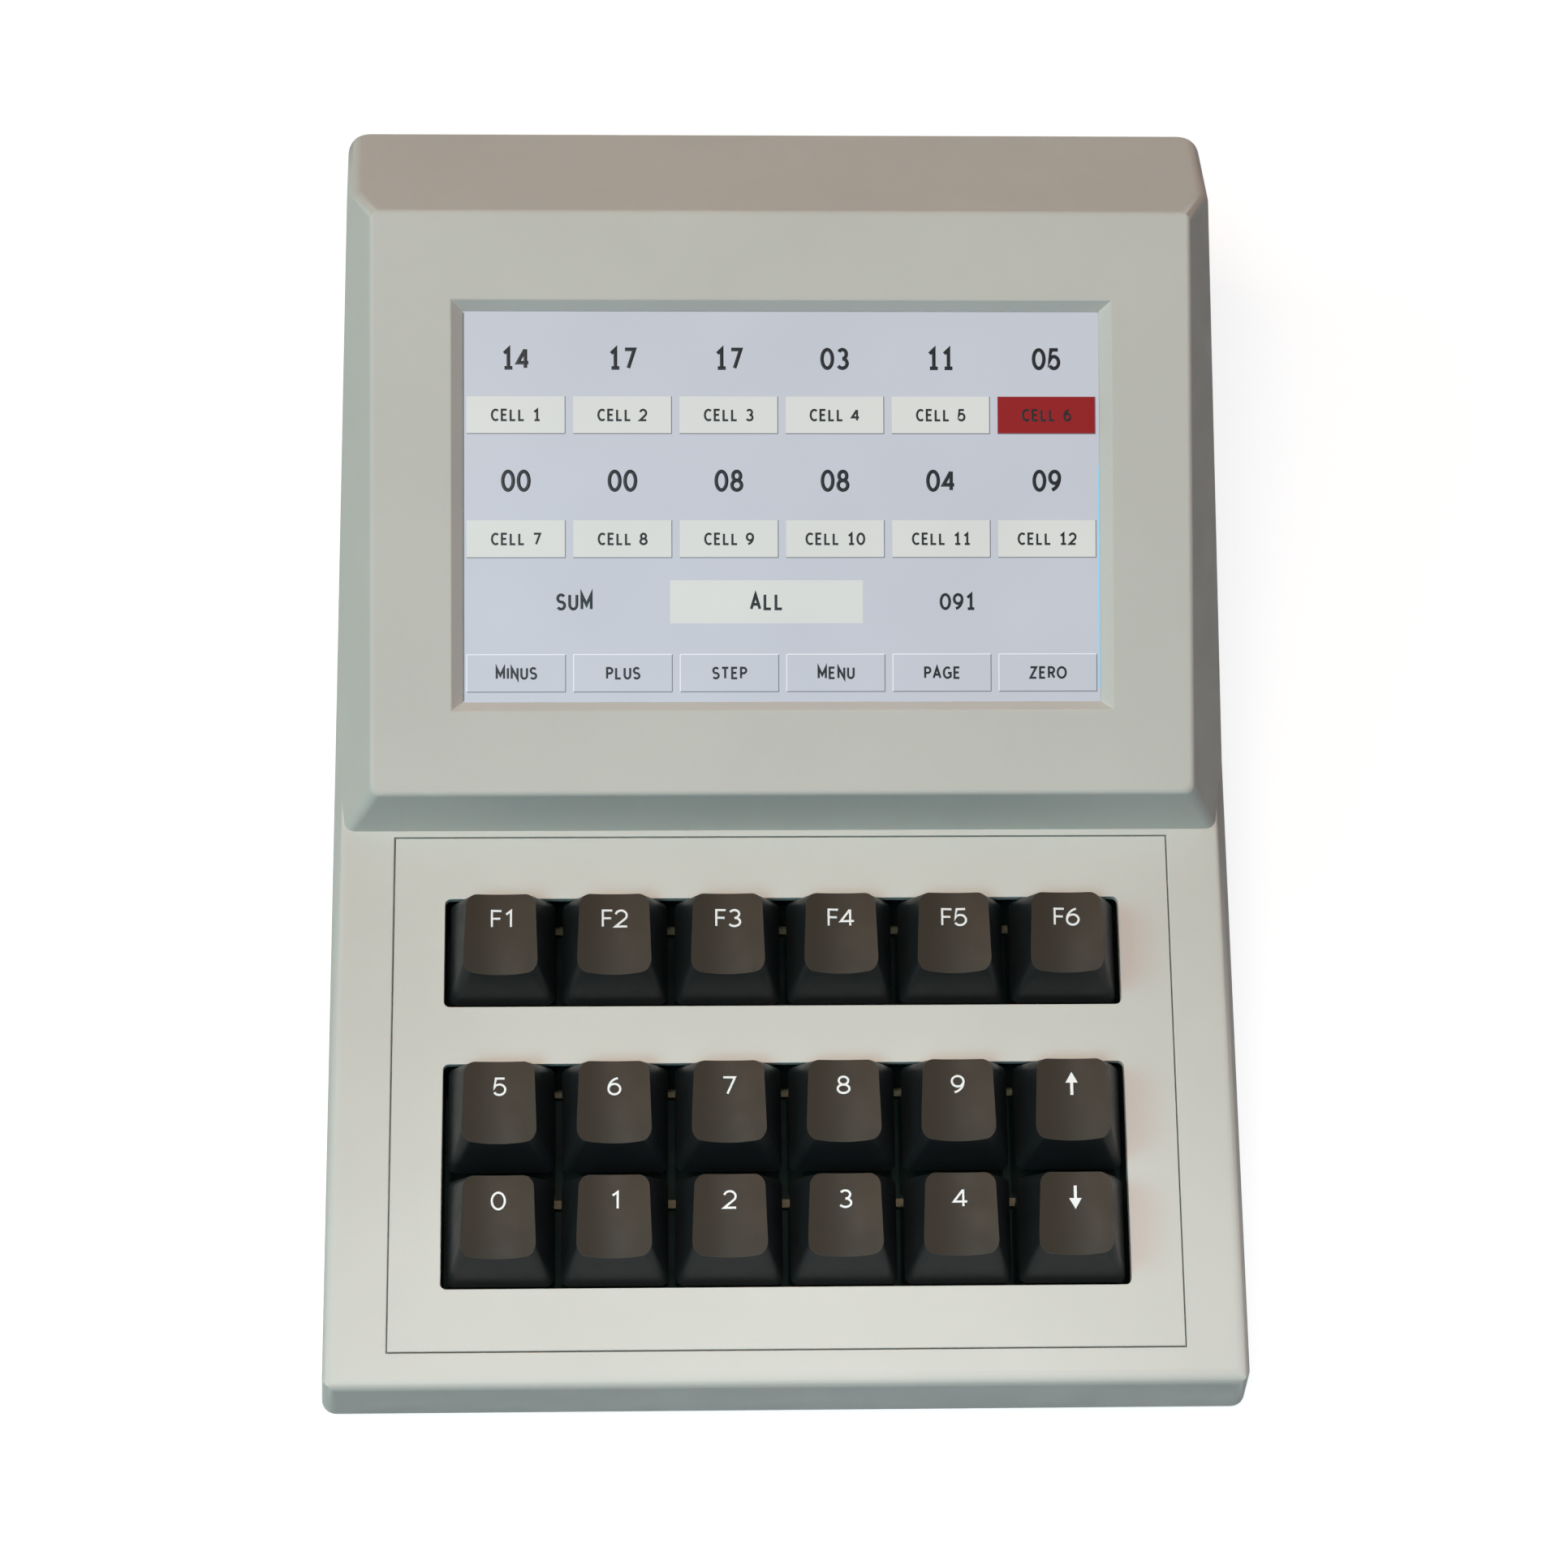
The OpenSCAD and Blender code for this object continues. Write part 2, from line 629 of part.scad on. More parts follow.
module main_board() {
  color([0.05, 0.35, 0.2]) on_display() translate([0, screen_v, main_top - board_t]) difference() {
    union() {
      box(main_w, main_d, board_t);
      translate([-13, 4, -1.4]) box(22, 22, 1.5);
      translate([22, -8, -1.2]) box(12, 8, 1.3);
      translate([-34, -12, -2.4]) box(14, 10, 2.5);
      translate([30, 14, -3]) box(10, 12, 3.1);
    }
    at_main_posts() translate([0, 0, -5]) cylinder(d = screw_d + screw_pass, h = 10, $fn = 24);
  }
}

// head down at z = 0, shank up
module small_screw() {
  difference() {
    union() {
      translate([0, 0, -head_h]) cylinder(d = head_d, h = head_h, $fn = 24);
      translate([0, 0, -e]) cylinder(d = screw_d, h = screw_l + e, $fn = 24);
    }
    for (a = [0, 90]) rotate([0, 0, a]) translate([0, 0, -head_h - e]) box(2.4, 0.5, 0.9);
  }
}

module small_screws() {
  color([0.7, 0.7, 0.72]) {
    on_display() translate([0, screen_v, 0]) {
      for (s = [-1, 1], q = [-1, 1])
        translate([s * bracket_x, q * bracket_y, bracket_top - bracket_t - seat_gap]) small_screw();
      at_main_posts() translate([0, 0, main_top - board_t - seat_gap]) small_screw();
    }
    on_keypad() for (s = [-1, 1], y = post_y)
      translate([s * board_post_x, y, board_w - board_t - seat_gap]) small_screw();
    for (s = [-1, 1], q = [-1, 1]) translate([s * io_post_x, io_y + q * io_post_y, on_io])
      rotate([180, 0, 0]) small_screw();
  }
}

// children stand at each key's centre on the board
module at_keys() {
  on_keypad() for (r = [0, 1, 2], c = [0 : 5])
    translate([(c - 2.5) * key_pitch, cap_row[r], board_w]) children();
}

pin_at = [[-3.81, 2.54], [2.54, 5.08]];
peg_d = 4;
pin_d = 1.2;

module switch_board() {
  color([0.05, 0.3, 0.18]) on_keypad() difference() {
    translate([0, 0, board_w - board_t]) box(key_board_w, key_board_d, board_t);
    for (r = [0, 1, 2], c = [0 : 5]) translate([(c - 2.5) * key_pitch, cap_row[r], board_w - 5]) {
      cylinder(d = peg_d + 0.2, h = 10, $fn = 24);
      for (p = pin_at) translate([p.x, p.y, 0]) cylinder(d = pin_d + 0.3, h = 10, $fn = 16);
    }
    for (s = [-1, 1], y = post_y) translate([s * board_post_x, y, board_w - 5])
      cylinder(d = screw_d + screw_pass, h = 10, $fn = 24);
  }
}

cup_d = 5.2;
floor_h = 1.2;
stem_low = 8.4;

module switch_base() {
  difference() {
    union() {
      translate([0, 0, seat_gap]) box(switch_w, switch_w, base_h - seat_gap);
      translate([0, 0, -board_t - 1]) cylinder(d = peg_d, h = board_t + 2, $fn = 24);
    }
    difference() {
      translate([0, 0, floor_h]) box(switch_w - 2 * switch_wall, switch_w - 2 * switch_wall, 10);
      cylinder(d = cup_d + 1.4, h = stem_low - key_travel - 0.2, $fn = 32);
    }
    translate([0, 0, floor_h]) cylinder(d = cup_d, h = 10, $fn = 32);
    for (p = pin_at) translate([p.x, p.y, -1]) cylinder(d = pin_d + 0.1, h = 10, $fn = 16);
  }
}

module switch_bases() {
  color([0.12, 0.12, 0.13]) at_keys() switch_base();
}

roof_t = 1;

module switch_top() {
  low_w = flange_w - 1.6;
  difference() {
    union() {
      translate([0, 0, base_h + seat_gap]) box(flange_w, flange_w, 1);
      translate([0, 0, base_h + 1 + seat_gap - e])
        frustum(low_w, low_w, switch_top_w, switch_top_d, switch_h - base_h - 1 - seat_gap + e);
    }
    translate([0, 0, base_h - e]) frustum(low_w - 2 * switch_wall, low_w - 2 * switch_wall,
      switch_top_w - 1.8 * switch_wall, switch_top_d - 1.8 * switch_wall, switch_h - roof_t - base_h);
    box(stem_w + 2 * stem_gap, stem_d + 2 * stem_gap, 20);
  }
}

module switch_tops() {
  color([0.1, 0.1, 0.11]) at_keys() switch_top();
}

// one unbroken coil of square section, from points on a helix
module coil(d, wire, turns, h, steps) {
  n = turns * steps;
  q = wire * 0.44;
  pts = [for (i = [0 : n], k = [0 : 2])
    let (a = i * 360 / steps, b = 90 + k * 120, r = d / 2 + q * cos(b))
      [r * cos(a), r * sin(a), q + (h - 2 * q) * i / n + q * sin(b)]];
  skin = [for (i = [0 : n - 1], k = [0 : 2]) let (m = (k + 1) % 3)
    each [[3 * i + k, 3 * i + m, 3 * i + 3 + m], [3 * i + k, 3 * i + 3 + m, 3 * i + 3 + k]]];
  polyhedron(points = pts, faces = concat([[2, 1, 0], [3 * n, 3 * n + 1, 3 * n + 2]], skin));
}

module key_springs() {
  color([0.75, 0.75, 0.76]) at_keys() translate([0, 0, floor_h + seat_gap])
    coil(spring_d, spring_wire, spring_turns, stem_low - floor_h - 2 * seat_gap, 8);
}

module switch_pins() {
  color([0.8, 0.6, 0.3]) at_keys() for (p = pin_at) translate([p.x, p.y, -board_t - 1.5])
    cylinder(d = pin_d, h = board_t + 1.5 + 3, $fn = 16);
}

module board_diodes() {
  color([0.85, 0.72, 0.52]) on_keypad() for (r = [0, 1, 2], c = [0 : 4])
    translate([(c - 2) * key_pitch, cap_row[r] + 6.2, board_w + seat_gap]) box(2.6, 1.4, 1.1);
}

// a switch stem: post, shoulders, slider and the cross that the keycap sits on
module stem(c, r) {
  color([0.25, 0.35, 0.6]) on_keypad() translate([(c - 2.5) * key_pitch, cap_row[r], board_w]) {
    translate([0, 0, stem_low - 2.8]) cylinder(d = 3, h = 3, $fn = 24);
    translate([0, 0, stem_low]) box(stem_w, stem_d, switch_h - stem_low);
    translate([0, 0, stem_low]) box(stem_w + 2 * shoulder, stem_d - 0.4, switch_h - roof_t - 0.2 - stem_low);
    translate([0, 0, switch_h - e]) box(cross_w, cross_t, cross_h + e);
    translate([0, 0, switch_h - e]) box(cross_t, cross_w, cross_h + e);
  }
}

// a keycap: hollow sculpted shell with a dish and a cross socket
module keycap(c, r) {
  front_top = cap_h - cap_fall;
  roof = cap_h - cap_fall - cap_wall - dish_depth;
  lower = cap_base_w - board_w;
  color([0.22, 0.21, 0.2]) on_keypad() translate([(c - 2.5) * key_pitch, cap_row[r], cap_base_w])
    difference() {
      union() {
        difference() {
          hull() {
            linear_extrude(height = 0.8) soft(0.9) square(cap_base, center = true);
            translate([0, cap_top_back + cap_top_d / 2, cap_h]) rotate([atan(cap_fall / cap_top_d), 0, 0])
              translate([0, -cap_top_d / 2, -0.2]) linear_extrude(height = 0.2)
                soft(2) square([cap_top_w, cap_top_d], center = true);
          }
          translate([0, 0, -e]) hull() {
            box(cap_base - 2 * cap_wall, cap_base - 2 * cap_wall, 0.5);
            translate([0, cap_top_back, roof - e])
              box(cap_top_w - 2 * cap_wall, cap_top_d - 2 * cap_wall, e);
          }
        }
        translate([0, 0, switch_h + seat_gap - lower])
          cylinder(d = socket_d, h = roof - switch_h + lower + 0.5, $fn = 32);
      }
      translate([0, cap_top_back + cap_top_d / 2, cap_h]) rotate([atan(cap_fall / cap_top_d), 0, 0])
        translate([0, -cap_top_d / 2, dish_r - dish_depth]) rotate([90, 0, 0])
          cylinder(r = dish_r, h = 30, center = true, $fn = 96);
      for (a = [0, 90]) rotate([0, 0, a]) box(cross_w + 2 * cross_gap, cross_t + 2 * cross_gap,
        switch_h + cross_h + 0.2 - lower);
    }
}

module power_switch_body() {
  color([0.1, 0.1, 0.1]) translate([switch_x, back_y, switch_z]) difference() {
    union() {
      translate([0, seat_gap + bezel_t / 2, -7.5]) box(switch_body_l + 3, bezel_t, 15);
      translate([0, seat_gap - 6.5, -switch_body_h / 2]) box(switch_body_l, 13 + 2 * e, switch_body_h);
      for (i = [-1, 1]) translate([i * 4, -16, -2.4]) box(0.8, 8, 4.8);
    }
    translate([0, 4 - pivot_in, -switch_in_h / 2]) box(2 * rocker_half + 1.8, 15.2, switch_in_h);
    translate([0, -pivot_in, -7]) cylinder(d = pivot_d + 2 * pivot_gap, h = 14, $fn = 32);
  }
}

module power_rocker() {
  foot = 2.6;
  pin_l = switch_body_h - 0.5;
  color([0.08, 0.08, 0.08]) translate([switch_x, back_y - pivot_in, switch_z])
    rotate([0, 0, rocker_swing / 2]) {
    translate([0, 0, -rocker_w / 2]) linear_extrude(height = rocker_w)
      polygon([[-rocker_half, rocker_top], [0, rocker_top - 1.2], [rocker_half, rocker_top],
        [rocker_half, 0.6], [1.5, -foot], [-1.5, -foot], [-rocker_half, 0.6]]);
    translate([0, 0, -pin_l / 2]) cylinder(d = pivot_d, h = pin_l, $fn = 32);
  }
}

module dc_inlet() {
  color([0.12, 0.12, 0.12]) translate([inlet_x, back_y, inlet_z]) {
    difference() {
      union() {
        translate([0, -wall - 0.1 - 6.5, -inlet_h / 2]) box(9, 13, inlet_h);
        translate([0, -0.3, 0]) rotate([90, 0, 0]) cylinder(d = inlet_nose, h = 5, $fn = 32);
      }
      translate([0, 1, 0]) rotate([90, 0, 0]) cylinder(d = inlet_bore, h = 11, $fn = 32);
    }
    translate([0, -0.8, 0]) rotate([90, 0, 0]) cylinder(d = 2, h = 10, $fn = 24);
  }
}

usb_l = 16;
usb_y = back_y - 0.4 - usb_l / 2;
usb_t = 0.5;

module usb_shell() {
  color([0.75, 0.75, 0.76]) translate([usb_x, usb_y, on_io]) difference() {
    box(usb_w, usb_l, usb_h);
    translate([0, -1, usb_t]) box(usb_w - 2 * usb_t, usb_l, usb_h - 2 * usb_t);
    translate([0, 5, (usb_h - 8) / 2]) box(8.6, 8, 8);
  }
}

module usb_insert() {
  in = usb_t + seat_gap;
  color([0.9, 0.9, 0.88]) translate([usb_x, usb_y, on_io]) {
    translate([0, -5, in]) box(usb_w - 2 * in, 5.5, usb_h - 2 * in);
    translate([0, 1.4, usb_h / 2 - 1.6]) box(5.6, 9, 3.2);
  }
}

module io_board() {
  color([0.05, 0.35, 0.2]) translate([0, io_y, io_z]) difference() {
    box(2 * io_post_x + 14, io_d, board_t);
    for (s = [-1, 1], q = [-1, 1]) translate([s * io_post_x, q * io_post_y, -5])
      cylinder(d = screw_d + screw_pass, h = 10, $fn = 24);
  }
}

module buzzer() {
  color([0.08, 0.08, 0.08]) translate([-16, back_y - 28, on_io]) difference() {
    cylinder(d = 12, h = 9, $fn = 32);
    translate([0, 0, 7]) cylinder(d = 2.5, h = 5, $fn = 24);
  }
}

// a flat strip of thickness t that follows the points p in the side view
module strip(p, t, w) {
  n = len(p) - 1;
  across(w) polygon(concat([for (i = [0 : n]) p[i] + side(p, i) * t / 2],
    [for (i = [n : -1 : 0]) p[i] - side(p, i) * t / 2]));
}

module ribbon_cables() {
  color([0.78, 0.78, 0.76]) {
    translate([-10, 0, 0]) strip([kp(36, board_w + 0.3), kp(46, board_w + 0.3), kp(54, board_w + 1.2),
      kp(60, board_w + 4), dp(-34, main_top - board_t - 4.2), dp(-33, main_top - board_t - 1.6),
      dp(-30, main_top - board_t - 0.35), dp(-22, main_top - board_t - 0.35)], 0.4, 20);
    translate([12, 0, 0]) strip([[io_y - 8, on_io + 0.25], [io_y - 20, on_io + 0.25],
      [io_y - 28, on_io + 3], [io_y - 32, on_io + 10], dp(24, main_top - board_t - 8),
      dp(23, main_top - board_t - 2.4), dp(20, main_top - board_t - 0.35),
      dp(10, main_top - board_t - 0.35)], 0.4, 24);
  }
}

module rubber_feet() {
  color([0.1, 0.1, 0.1]) for (s = [-1, 1], y = [front_y + foot_in_y, back_y - foot_in_y])
    translate([s * (case_half - foot_in_x), y, 0]) difference() {
      cylinder(d1 = foot_d - 1, d2 = foot_d, h = foot_h - seat_gap, $fn = 32);
      translate([0, 0, -e]) cylinder(d = foot_d / 3, h = foot_h * 0.4, $fn = 24);
    }
}

module base_screws() {
  color([0.6, 0.6, 0.62]) for (s = [-1, 1], i = [0, 1, 2])
    translate([s * boss_x, base_screw_y[i], rim_z + 0.1]) difference() {
      union() {
        cylinder(d1 = 5.6, d2 = base_screw_d, h = 1.4, $fn = 24);
        cylinder(d = base_screw_d, h = base_screw_l, $fn = 24);
      }
      for (a = [0, 90]) rotate([0, 0, a]) translate([0, 0, -e]) box(3, 0.6, 0.9);
    }
}

module keycap_f1() { keycap(0, 2); }
module keycap_f2() { keycap(1, 2); }
module keycap_f3() { keycap(2, 2); }
module keycap_f4() { keycap(3, 2); }
module keycap_f5() { keycap(4, 2); }
module keycap_f6() { keycap(5, 2); }
module keycap_5() { keycap(0, 1); }
module keycap_6() { keycap(1, 1); }
module keycap_7() { keycap(2, 1); }
module keycap_8() { keycap(3, 1); }
module keycap_9() { keycap(4, 1); }
module keycap_up() { keycap(5, 1); }
module keycap_0() { keycap(0, 0); }
module keycap_1() { keycap(1, 0); }
module keycap_2() { keycap(2, 0); }
module keycap_3() { keycap(3, 0); }
module keycap_4() { keycap(4, 0); }
module keycap_down() { keycap(5, 0); }
module stem_f1() { stem(0, 2); }
module stem_f2() { stem(1, 2); }
module stem_f3() { stem(2, 2); }
module stem_f4() { stem(3, 2); }
module stem_f5() { stem(4, 2); }
module stem_f6() { stem(5, 2); }
module stem_5() { stem(0, 1); }
module stem_6() { stem(1, 1); }
module stem_7() { stem(2, 1); }
module stem_8() { stem(3, 1); }
module stem_9() { stem(4, 1); }
module stem_up() { stem(5, 1); }
module stem_0() { stem(0, 0); }
module stem_1() { stem(1, 0); }
module stem_2() { stem(2, 0); }
module stem_3() { stem(3, 0); }
module stem_4() { stem(4, 0); }
module stem_down() { stem(5, 0); }

upper_housing();
base_plate();
key_panel();
display_glass();
lcd_panel();
lcd_bracket();
main_board();
small_screws();
switch_board();
switch_bases();
switch_tops();
key_springs();
switch_pins();
board_diodes();
power_switch_body();
power_rocker();
dc_inlet();
usb_shell();
usb_insert();
io_board();
buzzer();
ribbon_cables();
rubber_feet();
base_screws();
keycap_f1();
keycap_f2();
keycap_f3();
keycap_f4();
keycap_f5();
keycap_f6();
keycap_5();
keycap_6();
keycap_7();
keycap_8();
keycap_9();
keycap_up();
keycap_0();
keycap_1();
keycap_2();
keycap_3();
keycap_4();
keycap_down();
stem_f1();
stem_f2();
stem_f3();
stem_f4();
stem_f5();
stem_f6();
stem_5();
stem_6();
stem_7();
stem_8();
stem_9();
stem_up();
stem_0();
stem_1();
stem_2();
stem_3();
stem_4();
stem_down();
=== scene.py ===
from math import atan, cos, pi, radians, sin, sqrt

import bmesh
import bpy
from mathutils import Matrix, Vector


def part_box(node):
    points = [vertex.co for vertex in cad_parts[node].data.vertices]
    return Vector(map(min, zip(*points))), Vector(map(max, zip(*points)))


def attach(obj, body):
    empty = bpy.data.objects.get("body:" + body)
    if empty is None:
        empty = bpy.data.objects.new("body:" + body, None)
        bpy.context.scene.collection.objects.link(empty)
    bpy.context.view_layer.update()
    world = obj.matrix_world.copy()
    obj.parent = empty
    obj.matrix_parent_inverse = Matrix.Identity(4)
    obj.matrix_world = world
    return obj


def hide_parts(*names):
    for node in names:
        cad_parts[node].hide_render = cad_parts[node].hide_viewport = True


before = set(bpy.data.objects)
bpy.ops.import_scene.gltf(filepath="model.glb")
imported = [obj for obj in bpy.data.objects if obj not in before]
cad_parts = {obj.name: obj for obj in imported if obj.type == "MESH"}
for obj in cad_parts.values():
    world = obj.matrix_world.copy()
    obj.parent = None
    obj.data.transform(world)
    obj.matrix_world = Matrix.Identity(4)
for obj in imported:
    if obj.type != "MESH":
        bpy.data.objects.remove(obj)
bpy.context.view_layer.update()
mm = 0.001


# ---------------------------------------------------------------- upper housing
# The upper housing is one injection-moulded ABS shell, off-white, with a satin
# spark-eroded skin. Its visible edges are broken by a small radius, as the mould
# leaves them, and the screen looks out through a recess in its raised hood.

housing_white = (0.70, 0.69, 0.645)
housing_edge = 0.22 * mm
keypad_tilt, display_tilt = radians(6), radians(19.6)
keypad_centre = (0, -61.578 * mm, 24.247 * mm)
face_edge = (0, 48.07 * mm, 12.14 * mm)         # from the keypad's centre, in its plane
on_keypad = Matrix.Translation(keypad_centre) @ Matrix.Rotation(keypad_tilt, 4, "X")
on_face = (on_keypad @ Matrix.Translation(face_edge)
           @ Matrix.Rotation(display_tilt - keypad_tilt, 4, "X"))

noise_low, noise_high = 0.3, 0.7                # a noise seldom leaves this range
mottle_scale, gloss_scale = 35, 220             # spots to the metre
gloss_spread = 0.05
grain_depth = 0.02 * mm

merge_distance = 0.002 * mm                     # corners closer than this are one
flat_angle, sharp_angle, smooth_angle = radians(0.5), radians(40), radians(35)
plane_distance = 0.01 * mm                      # how near a broken edge lies to its plane
flat_weight = 90                                # how firmly a flat keeps its normal


def speckle(nodes, scale, detail, low, high):
    """A noise in object space, squeezed between two values."""
    coordinates = nodes.new("ShaderNodeTexCoord")
    noise = nodes.new("ShaderNodeTexNoise")
    noise.inputs["Scale"].default_value = scale
    noise.inputs["Detail"].default_value = detail
    spread = nodes.new("ShaderNodeMapRange")
    spread.inputs["From Min"].default_value = noise_low
    spread.inputs["From Max"].default_value = noise_high
    spread.inputs["To Min"].default_value = low
    spread.inputs["To Max"].default_value = high
    links = noise.id_data.links
    links.new(coordinates.outputs["Object"], noise.inputs["Vector"])
    links.new(noise.outputs["Fac"], spread.inputs["Value"])
    return spread.outputs["Result"]


def tinted(nodes, colour, factor):
    """The colour, made lighter and darker by a noise around 1."""
    mix = nodes.new("ShaderNodeVectorMath")
    mix.operation = "SCALE"
    mix.inputs[0].default_value = colour
    mix.id_data.links.new(factor, mix.inputs["Scale"])
    return mix.outputs["Vector"]


def moulded(name, colour, rough=0.5, grain=0.35 * mm, relief=0.25, mottle=0.02,
            metal=0.0, gloss=0.5):
    """A moulded or machined finish: faint mottling, a fine grain and uneven gloss."""
    material = bpy.data.materials.new(name)
    material.use_nodes = True
    nodes = material.node_tree.nodes
    links = material.node_tree.links
    shader = nodes["Principled BSDF"]
    shader.inputs["Metallic"].default_value = metal
    shader.inputs["Specular IOR Level"].default_value = gloss
    cloud = speckle(nodes, mottle_scale, 3, 1 - mottle, 1 + mottle)
    links.new(tinted(nodes, colour, cloud), shader.inputs["Base Color"])
    uneven = speckle(nodes, gloss_scale, 2, rough - gloss_spread, rough + gloss_spread)
    links.new(uneven, shader.inputs["Roughness"])
    bump = nodes.new("ShaderNodeBump")
    bump.inputs["Strength"].default_value = relief
    bump.inputs["Distance"].default_value = grain_depth
    links.new(speckle(nodes, 1 / grain, 2, 0, 1), bump.inputs["Height"])
    links.new(bump.outputs["Normal"], shader.inputs["Normal"])
    return material


def wear(piece, material):
    """Gives the piece this material alone."""
    piece.data.materials.clear()
    piece.data.materials.append(material)


def dress(material, *names):
    """Gives the CAD nodes this material."""
    for name in names:
        wear(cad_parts[name], material)


def choose(piece):
    """Makes the piece the only one selected."""
    if bpy.context.mode != "OBJECT":
        bpy.ops.object.mode_set(mode="OBJECT")
    bpy.ops.object.select_all(action="DESELECT")
    piece.select_set(True)
    bpy.context.view_layer.objects.active = piece


def settle():
    """Takes the place, turn and size of the selected pieces into their meshes."""
    bpy.ops.object.transform_apply(location=True, rotation=True, scale=True)


def apply_all(piece):
    """Applies the piece's modifiers in order."""
    choose(piece)
    for modifier in list(piece.modifiers):
        bpy.ops.object.modifier_apply(modifier=modifier.name)


def lies_on(edge, to_plane):
    """Whether both ends of an edge lie on the plane that this matrix leads to."""
    return all(abs((to_plane @ corner.co).z) < plane_distance for corner in edge.verts)


def broken_edges(node, name, radius, planes):
    """A merged copy of a CAD node: its sharp edges on these planes are rounded."""
    piece = bpy.data.objects.new(name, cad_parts[node].data.copy())
    bpy.context.scene.collection.objects.link(piece)
    choose(piece)
    bpy.ops.mesh.customdata_custom_splitnormals_clear()
    bpy.ops.object.mode_set(mode="EDIT")
    bpy.ops.mesh.select_all(action="SELECT")
    bpy.ops.mesh.remove_doubles(threshold=merge_distance)
    bpy.ops.mesh.dissolve_limited(angle_limit=flat_angle)
    bpy.ops.mesh.select_all(action="DESELECT")
    to_planes = [plane.inverted() for plane in planes]
    shape = bmesh.from_edit_mesh(piece.data)
    for edge in shape.edges:
        if edge.is_convex and edge.calc_face_angle() > sharp_angle:
            edge.select = any(lies_on(edge, to_plane) for to_plane in to_planes)
    bmesh.update_edit_mesh(piece.data)
    bpy.ops.mesh.bevel(offset=radius, segments=3, affect="EDGES", miter_outer="ARC")
    bpy.ops.object.mode_set(mode="OBJECT")
    bpy.ops.object.shade_smooth_by_angle(angle=smooth_angle)
    flats = piece.modifiers.new("flats", "WEIGHTED_NORMAL")
    flats.keep_sharp = True
    flats.weight = flat_weight
    apply_all(piece)
    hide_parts(node)
    return piece


case_plastic = moulded("case_plastic", housing_white, rough=0.5, gloss=0.08)
housing_low, housing_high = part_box("upper_housing")
on_foot = Matrix.Translation((0, 0, housing_low.z))
on_back = Matrix.Translation((0, housing_high.y, 0)) @ Matrix.Rotation(pi / 2, 4, "X")
housing = broken_edges("upper_housing", "housing_shell", housing_edge,
                       (on_keypad, on_face, on_foot, on_back))
wear(housing, case_plastic)
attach(housing, "case")


# ---------------------------------------------------------------- display
# The display is a touch glass on a colour panel, clamped from behind by a moulded
# bracket. Its lit picture lies just on the glass: two rows of six counters over
# their name boxes, a line for the sum and six buttons.

glass_low, glass_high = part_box("display_glass")
glass_t = 1.4 * mm
on_glass = (Matrix.Translation((glass_low + glass_high) / 2)
            @ Matrix.Rotation(display_tilt, 4, "X")
            @ Matrix.Translation((0, 0, glass_t / 2)))
layer = 0.015 * mm                              # each layer of the picture is this thick
film_black = (0.012, 0.012, 0.014, 1)
glow_scale = 45                                 # spots to the metre


def lit(name, colour, shade=0.02):
    """A lit picture layer under glossy film: the light is even to a few hundredths."""
    material = bpy.data.materials.new(name)
    material.use_nodes = True
    nodes = material.node_tree.nodes
    shader = nodes["Principled BSDF"]
    shader.inputs["Base Color"].default_value = film_black
    shader.inputs["Roughness"].default_value = 0.22
    shader.inputs["Specular IOR Level"].default_value = 0.12
    shader.inputs["Emission Strength"].default_value = 1
    light = speckle(nodes, glow_scale, 1, 1 - shade, 1 + shade)
    material.node_tree.links.new(tinted(nodes, colour, light), shader.inputs["Emission Color"])
    return material


def place(piece, where):
    """Puts the piece at a frame and takes that place into its mesh."""
    piece.matrix_world = where @ piece.matrix_world
    choose(piece)
    settle()


def join(pieces, name):
    """Makes one piece of several."""
    choose(pieces[0])
    for piece in pieces:
        piece.select_set(True)
    bpy.ops.object.join()
    pieces[0].name = pieces[0].data.name = name
    return pieces[0]


def panel(x, y, w, d):
    """A flat rectangle on the picture, by its centre and size."""
    bpy.ops.mesh.primitive_plane_add(size=1, location=(x, y, 0))
    piece = bpy.context.object
    piece.scale = (w, d, 1)
    settle()
    return piece


def arc(x, y, rx, ry, start, end):
    """Points along a part of an ellipse, 12 degrees apart, by its centre and radii."""
    steps = max(2, round(abs(end - start) / 12))
    turns = [radians(start + (end - start) * i / steps) for i in range(steps + 1)]
    return [(x + rx * cos(turn), y + ry * sin(turn)) for turn in turns]


